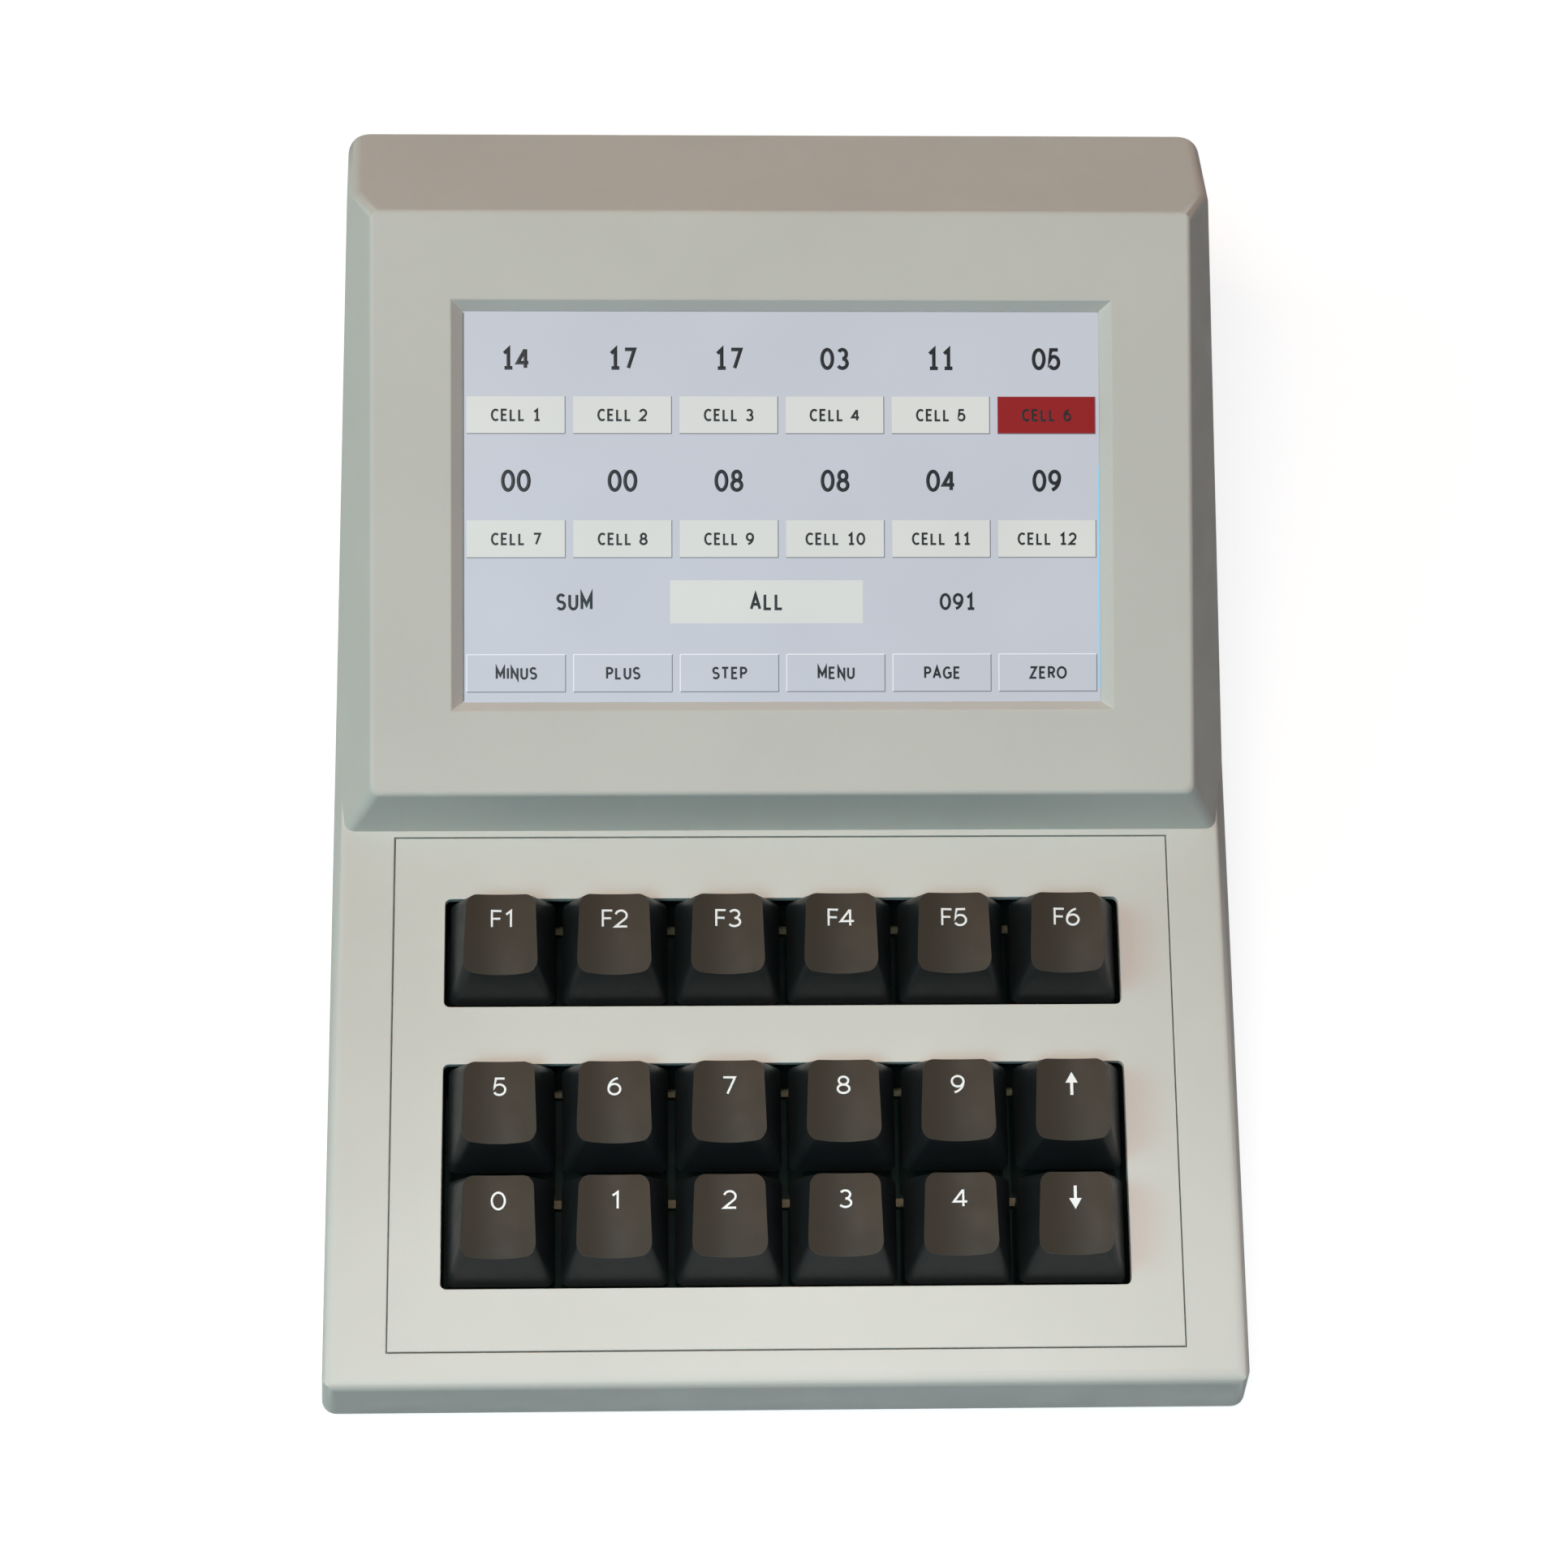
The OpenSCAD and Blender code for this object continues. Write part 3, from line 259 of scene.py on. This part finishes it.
# plain round-hand signs, as the pen strokes of an engraver's stencil, one unit high
bowl = [(0.05, 0), (0.05, 1), (0.3, 1)] + arc(0.3, 0.74, 0.27, 0.26, 90, -90) + [(0.05, 0.48)]
signs = {
    "0": [arc(0.34, 0.5, 0.34, 0.5, 90, 450)],
    "1": [[(0.1, 0.78), (0.36, 1), (0.36, 0)]],
    "i": [[(0.08, 0.78), (0.36, 1), (0.36, 0)], [(0.1, 0), (0.62, 0)]],
    "2": [arc(0.32, 0.69, 0.3, 0.31, 165, -40) + [(0.02, 0), (0.64, 0)]],
    "3": [arc(0.31, 0.755, 0.26, 0.245, 150, -90), arc(0.31, 0.255, 0.31, 0.255, 90, -150)],
    "4": [[(0.5, 0), (0.5, 1)], [(0.48, 0.98), (0, 0.28), (0.7, 0.28)]],
    "5": [[(0.58, 1), (0.13, 1), (0.07, 0.5)] + arc(0.31, 0.32, 0.31, 0.32, 130, -150)],
    "6": [arc(0.32, 0.32, 0.31, 0.32, 0, 360), arc(0.6, 0.33, 0.59, 0.67, 180, 100)],
    "7": [[(0.02, 1), (0.64, 1), (0.24, 0)]],
    "8": [arc(0.32, 0.76, 0.25, 0.24, -90, 270), arc(0.32, 0.26, 0.31, 0.26, 90, 450)],
    "9": [arc(0.32, 0.68, 0.31, 0.32, 0, 360), arc(0.04, 0.67, 0.59, 0.67, 0, -80)],
    "A": [[(0, 0), (0.34, 1), (0.68, 0)], [(0.12, 0.32), (0.56, 0.32)]],
    "C": [arc(0.38, 0.5, 0.37, 0.5, 50, 310)],
    "E": [[(0.55, 1), (0.05, 1), (0.05, 0), (0.55, 0)], [(0.05, 0.52), (0.48, 0.52)]],
    "F": [[(0.56, 1), (0.06, 1), (0.06, 0)], [(0.06, 0.52), (0.5, 0.52)]],
    "G": [arc(0.38, 0.5, 0.37, 0.5, 50, 300) + [(0.7, 0.14), (0.7, 0.47), (0.42, 0.47)]],
    "I": [[(0.06, 0), (0.06, 1)]],
    "L": [[(0.05, 1), (0.05, 0), (0.52, 0)]],
    "M": [[(0.05, 0), (0.05, 1), (0.41, 0.3), (0.77, 1), (0.77, 0)]],
    "N": [[(0.05, 0), (0.05, 1), (0.63, 0), (0.63, 1)]],
    "O": [arc(0.41, 0.5, 0.41, 0.5, 90, 450)],
    "P": [bowl],
    "R": [bowl, [(0.3, 0.48), (0.6, 0)]],
    "S": [arc(0.3, 0.75, 0.26, 0.25, 30, 270), arc(0.3, 0.25, 0.28, 0.25, 90, -150)],
    "T": [[(0, 1), (0.64, 1)], [(0.32, 1), (0.32, 0)]],
    "U": [[(0.05, 1), (0.05, 0.32)] + arc(0.33, 0.32, 0.28, 0.32, 180, 360) + [(0.61, 1)]],
    "Z": [[(0.03, 1), (0.6, 1), (0.03, 0), (0.62, 0)]],
}
touching = 0.001                                # ends this close make a closed stroke
blank_width = 0.3                               # width of a space between words
ink_height = 0.02 * mm


def writing(text, x, y, height, stroke, squeeze, space):
    """Strokes of ink of this width as a mesh, centred at x and y, flat on the ground."""
    rise = height - stroke
    pen = bpy.data.curves.new("writing", "CURVE")
    pen.dimensions = "2D"
    pen.bevel_depth = stroke / 2
    pen.bevel_resolution = 2
    pen.use_fill_caps = True
    left = 0
    for sign in text:
        strokes = signs.get(sign, [])
        for points in strokes:
            closed = (Vector(points[0]) - Vector(points[-1])).length < touching
            if closed:
                points = points[:-1]
            spline = pen.splines.new("POLY")
            spline.points.add(len(points) - 1)
            spline.use_cyclic_u = closed
            for point, (u, v) in zip(spline.points, points):
                point.co = (left + u * rise * squeeze, (v - 0.5) * rise, 0, 1)
        width = max([u for points in strokes for u, v in points], default=blank_width)
        left += width * rise * squeeze + stroke + space * height
    right = left - stroke - space * height
    piece = bpy.data.objects.new("writing", pen)
    bpy.context.scene.collection.objects.link(piece)
    piece.location = (x - right / 2, y, 0)
    choose(piece)
    bpy.ops.object.convert(target="MESH")
    piece = bpy.context.object
    piece.scale = (1, 1, ink_height / (stroke / 2))
    settle()
    return piece


def picture_layer(pieces, name, level, material):
    """Joins the pieces into one thin layer of the picture, at this level over the glass."""
    piece = join(pieces, name)
    thick = piece.modifiers.new("thick", "SOLIDIFY")
    thick.thickness = layer
    thick.offset = 1
    apply_all(piece)
    place(piece, on_glass @ Matrix.Translation((0, 0, level * layer)))
    wear(piece, material)
    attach(piece, "case")


middle = 2.5                                    # of six in a row, counted from 0
columns = [(i - middle) * 18.05 * mm for i in range(6)]
number_rows = {25.2 * mm: ["14", "17", "17", "03", "11", "05"],
               4.4 * mm: ["00", "00", "08", "08", "04", "09"]}
box_w, box_d = 16.7 * mm, 6.35 * mm
box_rows = {15.6 * mm: ["CELL %d" % i for i in range(1, 7)],
            -5.5 * mm: ["CELL %d" % i for i in range(7, 13)]}
button_y = -28.3 * mm
button_names = ["MINUS", "PLUS", "STEP", "MENU", "PAGE", "ZERO"]
sum_y = -16.2 * mm
sum_columns = [-35.3 * mm, -2.7 * mm, 29.8 * mm]
sum_texts = ["SUM", "ALL", "091"]

# the ground, the pale boxes and the red one of the counter in use: centre and size
ground = (0, 0, 110 * mm, 68 * mm)
sum_box = (sum_columns[1], sum_y, 32.7 * mm, 7.3 * mm)
dress(moulded("touch_glass", (0.05, 0.055, 0.06), rough=0.15, relief=0.02), "display_glass")
picture_layer([panel(*ground)], "picture_ground", 0, lit("picture_blue", (0.52, 0.545, 0.605)))
boxes = [panel(x, y, box_w, box_d) for y in box_rows for x in columns]
red_box = boxes.pop(5)
boxes.append(panel(*sum_box))
picture_layer(boxes, "picture_boxes", 1, lit("picture_pale", (0.65, 0.665, 0.635)))
picture_layer([red_box], "picture_red_box", 1, lit("picture_red", (0.265, 0.0, 0.0)))

# fine lines: one at each side of the picture, a shade at each box, a light at each button
line_w = 0.16 * mm
left_line = (-53.98 * mm, 0, 0.24 * mm, 66 * mm)
right_line = (53.9 * mm, -12 * mm, 0.3 * mm, 38 * mm)
dark_lines = [panel(*left_line)]
light_lines = []
picture_layer([panel(*right_line)], "picture_blue_line", 2,
              lit("picture_sky_blue", (0.3, 0.62, 0.85)))
for y in list(box_rows) + [button_y]:
    for x in columns:
        dark_lines.append(panel(x, y - box_d / 2, box_w, line_w))
        dark_lines.append(panel(x + box_w / 2, y, line_w, box_d))
        if y == button_y:
            light_lines.append(panel(x, y + box_d / 2, box_w, line_w))
            light_lines.append(panel(x - box_w / 2, y, line_w, box_d))
picture_layer(dark_lines, "picture_dark_lines", 2, lit("picture_grey", (0.16, 0.17, 0.2)))
picture_layer(light_lines, "picture_light_lines", 2, lit("picture_white", (0.8, 0.81, 0.85)))

# the lettering: height, width of the stroke, width of the signs and space between them
number_style = (3.8 * mm, 0.62 * mm, 0.82, 0.07)
label_style = (2.15 * mm, 0.37 * mm, 0.95, 0.09)
sum_style = (2.9 * mm, 0.48 * mm, 0.9, 0.09)
ink = lit("picture_black", (0.008, 0.008, 0.01))
text_rows = [(y, columns, texts, number_style) for y, texts in number_rows.items()]
text_rows += [(y, columns, texts, label_style) for y, texts in box_rows.items()]
text_rows += [(button_y, columns, button_names, label_style),
              (sum_y, sum_columns, sum_texts, sum_style)]
letters = []
for y, places, texts, style in text_rows:
    for text, x in zip(texts, places):
        # on the screen the sign 1 stands on a foot
        letters.append(writing(text.replace("1", "i"), x, y, *style))
picture_text = join(letters, "picture_text")
place(picture_text, on_glass @ Matrix.Translation((0, 0, 2 * layer)))
wear(picture_text, ink)
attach(picture_text, "case")

dress(moulded("lcd_metal", (0.55, 0.56, 0.57), rough=0.35, metal=0.9), "lcd_panel")
dress(moulded("bracket_plastic", (0.03, 0.03, 0.032), rough=0.55), "lcd_bracket")
dress(moulded("board_green", (0.003, 0.018, 0.011), rough=0.35, relief=0.1, mottle=0.12,
              gloss=0.3), "main_board", "io_board")
dress(moulded("steel", (0.6, 0.6, 0.61), rough=0.3, relief=0.1, metal=1.0),
      "small_screws", "base_screws")


# ---------------------------------------------------------------- key panel
# The key panel is a separate moulded plate of the same plastic, let into the case
# with a fine seam all round. It is held by pegs at its corners and carries the key
# board on six posts.

panel_edge = 0.16 * mm
panel_plate = broken_edges("key_panel", "key_panel_plate", panel_edge, (on_keypad,))
wear(panel_plate, case_plastic)
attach(panel_plate, "case")


# ---------------------------------------------------------------- key board
# Under the panel lies a green board with eighteen key switches: black housings,
# sliding stems and return springs. Small tan diodes show between the keycaps.

dress(moulded("switch_black", (0.006, 0.006, 0.007), rough=0.6, gloss=0.08),
      "switch_bases", "switch_tops")
# the key board is painted much darker than its green, as painted shade in the gaps between the
# keycaps
dress(moulded("board_green_painted_shade", (0.002, 0.009, 0.006), rough=0.55, relief=0.1, mottle=0.12,
              gloss=0.08), "switch_board")
dress(moulded("spring_steel", (0.6, 0.6, 0.61), rough=0.25, relief=0.05, metal=1.0),
      "key_springs")
dress(moulded("contact_brass", (0.6, 0.42, 0.16), rough=0.3, relief=0.05, metal=1.0),
      "switch_pins")
dress(moulded("diode_tan", (0.2, 0.145, 0.08), rough=0.5, mottle=0.1, gloss=0.1),
      "board_diodes")
stem_plastic = moulded("stem_plastic", (0.05, 0.09, 0.25), rough=0.35)


# ---------------------------------------------------------------- keycaps
# Each keycap is a hollow moulding in charcoal plastic with a satin grain: a skirt
# that narrows to a dished top with a soft rim, and a socket below that presses onto
# the cross of its switch's stem. The white legends stand a hair proud of the dish.

key_pitch = 19.05 * mm
front_row = -24.04 * mm
key_rows = [(front_row + 2.5 * key_pitch, ["f1", "f2", "f3", "f4", "f5", "f6"]),
            (front_row + key_pitch, ["5", "6", "7", "8", "9", "up"]),
            (front_row, ["0", "1", "2", "3", "4", "down"])]
cap_low, cap_base = -1.2 * mm, 17.8 * mm
cap_top_w, cap_top_d, cap_back = 11.6 * mm, 12.3 * mm, 2.1 * mm
cap_h, cap_fall, cap_wall = 9.5 * mm, 0.9 * mm, 1.3 * mm
cap_slope = atan(cap_fall / cap_top_d)
skirt_corner, top_corner, rim_round = 1.3 * mm, 2.0 * mm, 0.4 * mm
dish_r, dish_depth, dish_length = 18 * mm, 0.8 * mm, 40 * mm

# the hollow, which reaches past the skirt's edge, and the socket with its cross
hollow_base, hollow_low, hollow_corner = cap_base - 2 * cap_wall, -1 * mm, 0.5 * mm
hollow_w, hollow_d, hollow_back = 9.3 * mm, 10.4 * mm, 1.6 * mm
hollow_top = cap_h - cap_fall - cap_wall - dish_depth
socket_r, socket_h, socket_down = 2.75 * mm, 5.5 * mm, 2.3 * mm
cross_slots = ((4.2 * mm, 1.35 * mm), (1.25 * mm, 4.2 * mm))
slot_h, slot_down = 7 * mm, 4 * mm


def rounded_loop(w, d, radius, centre, tilt=0.0):
    """The outline of a rounded rectangle, tilted about its back edge."""
    bpy.ops.mesh.primitive_plane_add(size=1, location=centre)
    loop = bpy.context.object
    loop.scale = (w, d, 1)
    bpy.ops.object.transform_apply(location=False, rotation=False, scale=True)
    bpy.ops.object.mode_set(mode="EDIT")
    bpy.ops.mesh.select_all(action="SELECT")
    bpy.ops.mesh.bevel(offset=radius, segments=8, affect="VERTICES")
    bpy.ops.mesh.delete(type="ONLY_FACE")
    bpy.ops.mesh.select_all(action="SELECT")
    back = (centre[0], centre[1] + d / 2, centre[2])
    bpy.ops.transform.rotate(value=-tilt, orient_axis="X", center_override=back)
    bpy.ops.object.mode_set(mode="OBJECT")
    settle()
    return loop


def lofted(lower, upper, name):
    """A closed solid between two outlines."""
    solid = join([lower, upper], name)
    bpy.ops.object.mode_set(mode="EDIT")
    bpy.ops.mesh.select_all(action="SELECT")
    bpy.ops.mesh.bridge_edge_loops()
    bpy.ops.mesh.select_all(action="SELECT")
    bpy.ops.mesh.fill_holes(sides=0)
    bpy.ops.mesh.select_all(action="SELECT")
    bpy.ops.mesh.normals_make_consistent(inside=False)
    bpy.ops.object.mode_set(mode="OBJECT")
    return solid


def combine(piece, tool, operation):
    """Adds the tool to the piece, or takes it away, and drops the tool."""
    change = piece.modifiers.new("change", "BOOLEAN")
    change.operation = operation
    change.object = tool
    change.solver = "EXACT"
    apply_all(piece)
    bpy.data.objects.remove(tool)


# the outside: a loft from the skirt to the rim, dished by a cylinder, its edges rounded
skirt = rounded_loop(cap_base, cap_base, skirt_corner, (0, 0, 0))
rim = rounded_loop(cap_top_w, cap_top_d, top_corner, (0, cap_back, cap_h), -cap_slope)
cap = lofted(skirt, rim, "keycap")
dish_z = cap_h - cap_fall / 2 + dish_r - dish_depth
bpy.ops.mesh.primitive_cylinder_add(vertices=256, radius=dish_r, depth=dish_length,
                                    location=(0, cap_back, dish_z),
                                    rotation=(pi / 2 + cap_slope, 0, 0))
combine(cap, bpy.context.object, "DIFFERENCE")
rounding = cap.modifiers.new("rim", "BEVEL")
rounding.width = rim_round
rounding.segments = 4
rounding.limit_method = "ANGLE"
rounding.angle_limit = radians(45)
apply_all(cap)

# the inside: the hollow, and the socket with a cross cut into it
hollow = lofted(rounded_loop(hollow_base, hollow_base, hollow_corner, (0, 0, hollow_low)),
                rounded_loop(hollow_w, hollow_d, hollow_corner, (0, hollow_back, hollow_top)),
                "hollow")
combine(cap, hollow, "DIFFERENCE")
bpy.ops.mesh.primitive_cylinder_add(vertices=40, radius=socket_r, depth=socket_h,
                                    location=(0, 0, hollow_top - socket_down))
socket = bpy.context.object
for w, d in cross_slots:
    bpy.ops.mesh.primitive_cube_add(size=1, location=(0, 0, hollow_top - slot_down))
    slot = bpy.context.object
    slot.scale = (w, d, slot_h)
    settle()
    combine(socket, slot, "DIFFERENCE")
combine(cap, socket, "UNION")
choose(cap)
bpy.ops.object.shade_smooth_by_angle(angle=radians(30))

# the skirts and the inside are painted much darker than the plastic, as painted shade;
# the dish keeps the plastic's own colour, and its rim is painted lighter as a painted
# highlight
cap_plastic = moulded("cap_plastic", (0.009, 0.011, 0.012), rough=0.42, grain=0.3 * mm,
                      relief=0.3, gloss=0.22)
cap_dish = moulded("cap_dish", (0.043, 0.035, 0.026), rough=0.45, grain=0.3 * mm,
                   relief=0.3, gloss=0.12)
cap_rim_painted_highlight = moulded("cap_rim_painted_highlight", (0.15, 0.135, 0.115), rough=0.35, grain=0.3 * mm,
                  relief=0.1, gloss=0.3)
for material in (cap_plastic, cap_dish, cap_rim_painted_highlight):
    cap.data.materials.append(material)
top_from = cap_h - cap_fall - dish_depth - 0.7 * mm
rim_normal, dish_normal = 0.55, 0.93            # the least rise of a face's normal
# faces are sorted by how far they face up: the rim gets the painted highlight, all but the
# dish keep the painted shade
for face in cap.data.polygons:
    if face.center.z > top_from and face.normal.z > rim_normal:
        face.material_index = 1 if face.normal.z > dish_normal else 2

legend_plastic = moulded("legend_plastic", (0.95, 0.95, 0.95), rough=0.45, relief=0.1)
legend_y = 4.15 * mm
legend_style = (3.1 * mm, 0.39 * mm, 1.16, 0.03)
head_r, head_y = 1.2 * mm, 0.75 * mm
shaft_w, shaft_l, shaft_y = 0.5 * mm, 2.4 * mm, -0.7 * mm


def arrow(turn):
    """A plain arrow: a straight shaft and a solid head, flat on the ground."""
    bpy.ops.mesh.primitive_cylinder_add(vertices=3, radius=head_r, depth=2 * ink_height,
                                        location=(0, head_y, 0))
    head = bpy.context.object
    bpy.ops.mesh.primitive_cube_add(size=1, location=(0, shaft_y, 0))
    shaft = bpy.context.object
    shaft.scale = (shaft_w, shaft_l, 2 * ink_height)
    settle()
    sign = join([head, shaft], "arrow")
    settle()
    sign.rotation_euler.z = turn
    settle()
    return sign


def legend(name):
    """The legend of a key, bent to the dish and a hair proud of it."""
    if name in ("up", "down"):
        mark = arrow(0 if name == "up" else pi)
    else:
        mark = writing(name.upper(), 0, 0, *legend_style)
    mark.location = (0, legend_y, 0)
    choose(mark)
    settle()
    for point in mark.data.vertices:
        x, y, z = point.co
        plane = cap_h - cap_fall * (cap_back + cap_top_d / 2 - y) / cap_top_d
        point.co.z = z + plane - (sqrt(dish_r ** 2 - x ** 2) - dish_r + dish_depth)
    mark.name = mark.data.name = "legend_" + name
    wear(mark, legend_plastic)
    return mark


for row_y, names in key_rows:
    for i, name in enumerate(names):
        centre = on_keypad @ Matrix.Translation(((i - middle) * key_pitch, row_y, cap_low))
        key = cap.copy()
        key.data = cap.data.copy()
        key.name = key.data.name = "cap_" + name
        bpy.context.scene.collection.objects.link(key)
        mark = legend(name)
        for piece in (key, mark):
            place(piece, centre)
            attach(piece, "key_" + name)
        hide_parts("keycap_" + name)
        dress(stem_plastic, "stem_" + name)
bpy.data.objects.remove(cap)


# ---------------------------------------------------------------- base and rear
# The base plate is a moulded dark grey tray bottom, held by six countersunk screws,
# with four rubber feet. The connector board stands on it. The rear wall holds the
# power inlet, the data socket and a black rocker switch with white marks.

dress(moulded("base_plastic", (0.075, 0.078, 0.082), rough=0.6, relief=0.4), "base_plate")
dress(moulded("foot_rubber", (0.02, 0.02, 0.02), rough=0.85, relief=0.5), "rubber_feet")
dress(moulded("black_plastic", (0.018, 0.018, 0.019), rough=0.38),
      "dc_inlet", "buzzer", "power_switch_body", "power_rocker")
dress(moulded("plated_steel", (0.62, 0.62, 0.6), rough=0.28, relief=0.05, metal=1.0),
      "usb_shell")
dress(moulded("insert_plastic", (0.75, 0.74, 0.7), rough=0.4), "usb_insert")
dress(moulded("cable_grey", (0.45, 0.45, 0.44), rough=0.5), "ribbon_cables")

# on and off marks, one on each slope of the rocker, this far from its axis both ways
rocker_axis = Vector((38, 106.088, 24)) * mm
rocker_rest, rocker_slope = radians(8), atan(1.2 / 7.6)
mark_out = 3.8 * mm
mark_style = (3.4 * mm, 0.5 * mm, 1.0, 0.16)
mark_white = moulded("mark_white", (0.8, 0.8, 0.78), rough=0.5, relief=0.05)
facing = Matrix.Rotation(pi, 4, "Z") @ Matrix.Rotation(pi / 2, 4, "X")
for name, sign, side in (("rocker_mark_on", "I", 1), ("rocker_mark_off", "0", -1)):
    mark = writing(sign, 0, 0, *mark_style)
    place(mark, Matrix.Translation(rocker_axis) @ Matrix.Rotation(rocker_rest, 4, "Z")
          @ Matrix.Translation((side * mark_out, mark_out, 0))
          @ Matrix.Rotation(side * rocker_slope, 4, "Z") @ facing)
    mark.name = mark.data.name = name
    wear(mark, mark_white)
    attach(mark, "rocker")


# ---------------------------------------------------------------- room
# A pale floor, a soft spot over the keys and four softboxes, whose warm and cool
# colours give the case the tints of the room it stood in. Floor and sky look white
# without lighting it. The camera stands where the photographer held it.

floor_grey = (0.3, 0.3, 0.3, 1)
floor_white = 0.85


def seen_white(tree):
    """1 where the floor or sky is seen by the camera, in gloss or through glass, else 0."""
    path = tree.nodes.new("ShaderNodeLightPath")
    seen = path.outputs["Is Camera Ray"]
    for ray in ("Is Glossy Ray", "Is Transmission Ray"):
        either = tree.nodes.new("ShaderNodeMath")
        either.operation = "MAXIMUM"
        tree.links.new(seen, either.inputs[0])
        tree.links.new(path.outputs[ray], either.inputs[1])
        seen = either.outputs[0]
    return seen


bpy.ops.mesh.primitive_plane_add(size=6, location=(0, 0, 0))
floor = bpy.context.object
floor.name = "floor"
paper = bpy.data.materials.new("floor_paper")
paper.use_nodes = True
shader = paper.node_tree.nodes["Principled BSDF"]
shader.inputs["Base Color"].default_value = floor_grey
shader.inputs["Roughness"].default_value = 0.9
shader.inputs["Specular IOR Level"].default_value = 0.0
shader.inputs["Emission Color"].default_value = (1, 1, 1, 1)
glow = paper.node_tree.nodes.new("ShaderNodeMath")
glow.operation = "MULTIPLY"
glow.inputs[1].default_value = floor_white
paper.node_tree.links.new(seen_white(paper.node_tree), glow.inputs[0])
paper.node_tree.links.new(glow.outputs[0], shader.inputs["Emission Strength"])
wear(floor, paper)

sky = bpy.data.worlds.new("sky")
bpy.context.scene.world = sky
sky.use_nodes = True
background = sky.node_tree.nodes["Background"]
background.inputs["Color"].default_value = (1, 1, 1, 1)
sky.node_tree.links.new(seen_white(sky.node_tree), background.inputs["Strength"])


def lamp(kind, name, stand, direction, watts, colour):
    """A lamp that shines in a direction; its data, for what its kind adds."""
    bpy.ops.object.light_add(type=kind, location=stand)
    light = bpy.context.object
    light.name = name
    light.data.energy = watts
    light.data.color = colour
    light.rotation_euler = direction.to_track_quat("-Z", "Y").to_euler()
    return light.data


# a lamp whose light fades softly away from the front of the keypad
spot_stand, spot_aim = Vector((0.0, 0.4, 3.0)), Vector((0.0, -0.19, 0.0))
spot = lamp("SPOT", "keys_spot", spot_stand, spot_aim - spot_stand, 147.4, (0.94, 0.98, 1.0))
spot.shadow_soft_size = 0.06
spot.spot_size = radians(7)
spot.spot_blend = 1.0

# square softboxes that face the middle of the case
softbox_size = 1.2
for name, stand, watts, colour in (
        ("key_light", (-0.95, -0.15, 2.84), 38.0, (1.0, 0.36, 0.06)),
        ("warm_back_light", (0.3, 1.0, 2.8), 4.5, (1.0, 0.1, 0.0)),
        ("cool_front_light", (-0.6, -1.0, 2.75), 44.0, (0.42, 0.83, 1.0)),
        ("left_high_light", (-2.12, 0.0, 2.12), 21.5, (0.25, 0.9, 1.0))):
    lamp("AREA", name, stand, -Vector(stand), watts, colour).size = softbox_size

camera_stand = (-20.785 * mm, -235.697 * mm, 608.274 * mm)
camera_turn = (radians(21.4375), radians(-1.7663), radians(-0.8667))
camera_lens, camera_sensor = 82.87, 36          # in millimetres
bpy.ops.object.camera_add(location=camera_stand, rotation=camera_turn)
camera = bpy.context.object
camera.data.lens = camera_lens
camera.data.sensor_width = camera_sensor
camera.data.clip_start = 0.01
bpy.context.scene.camera = camera
bpy.context.scene.view_settings.view_transform = "Standard"
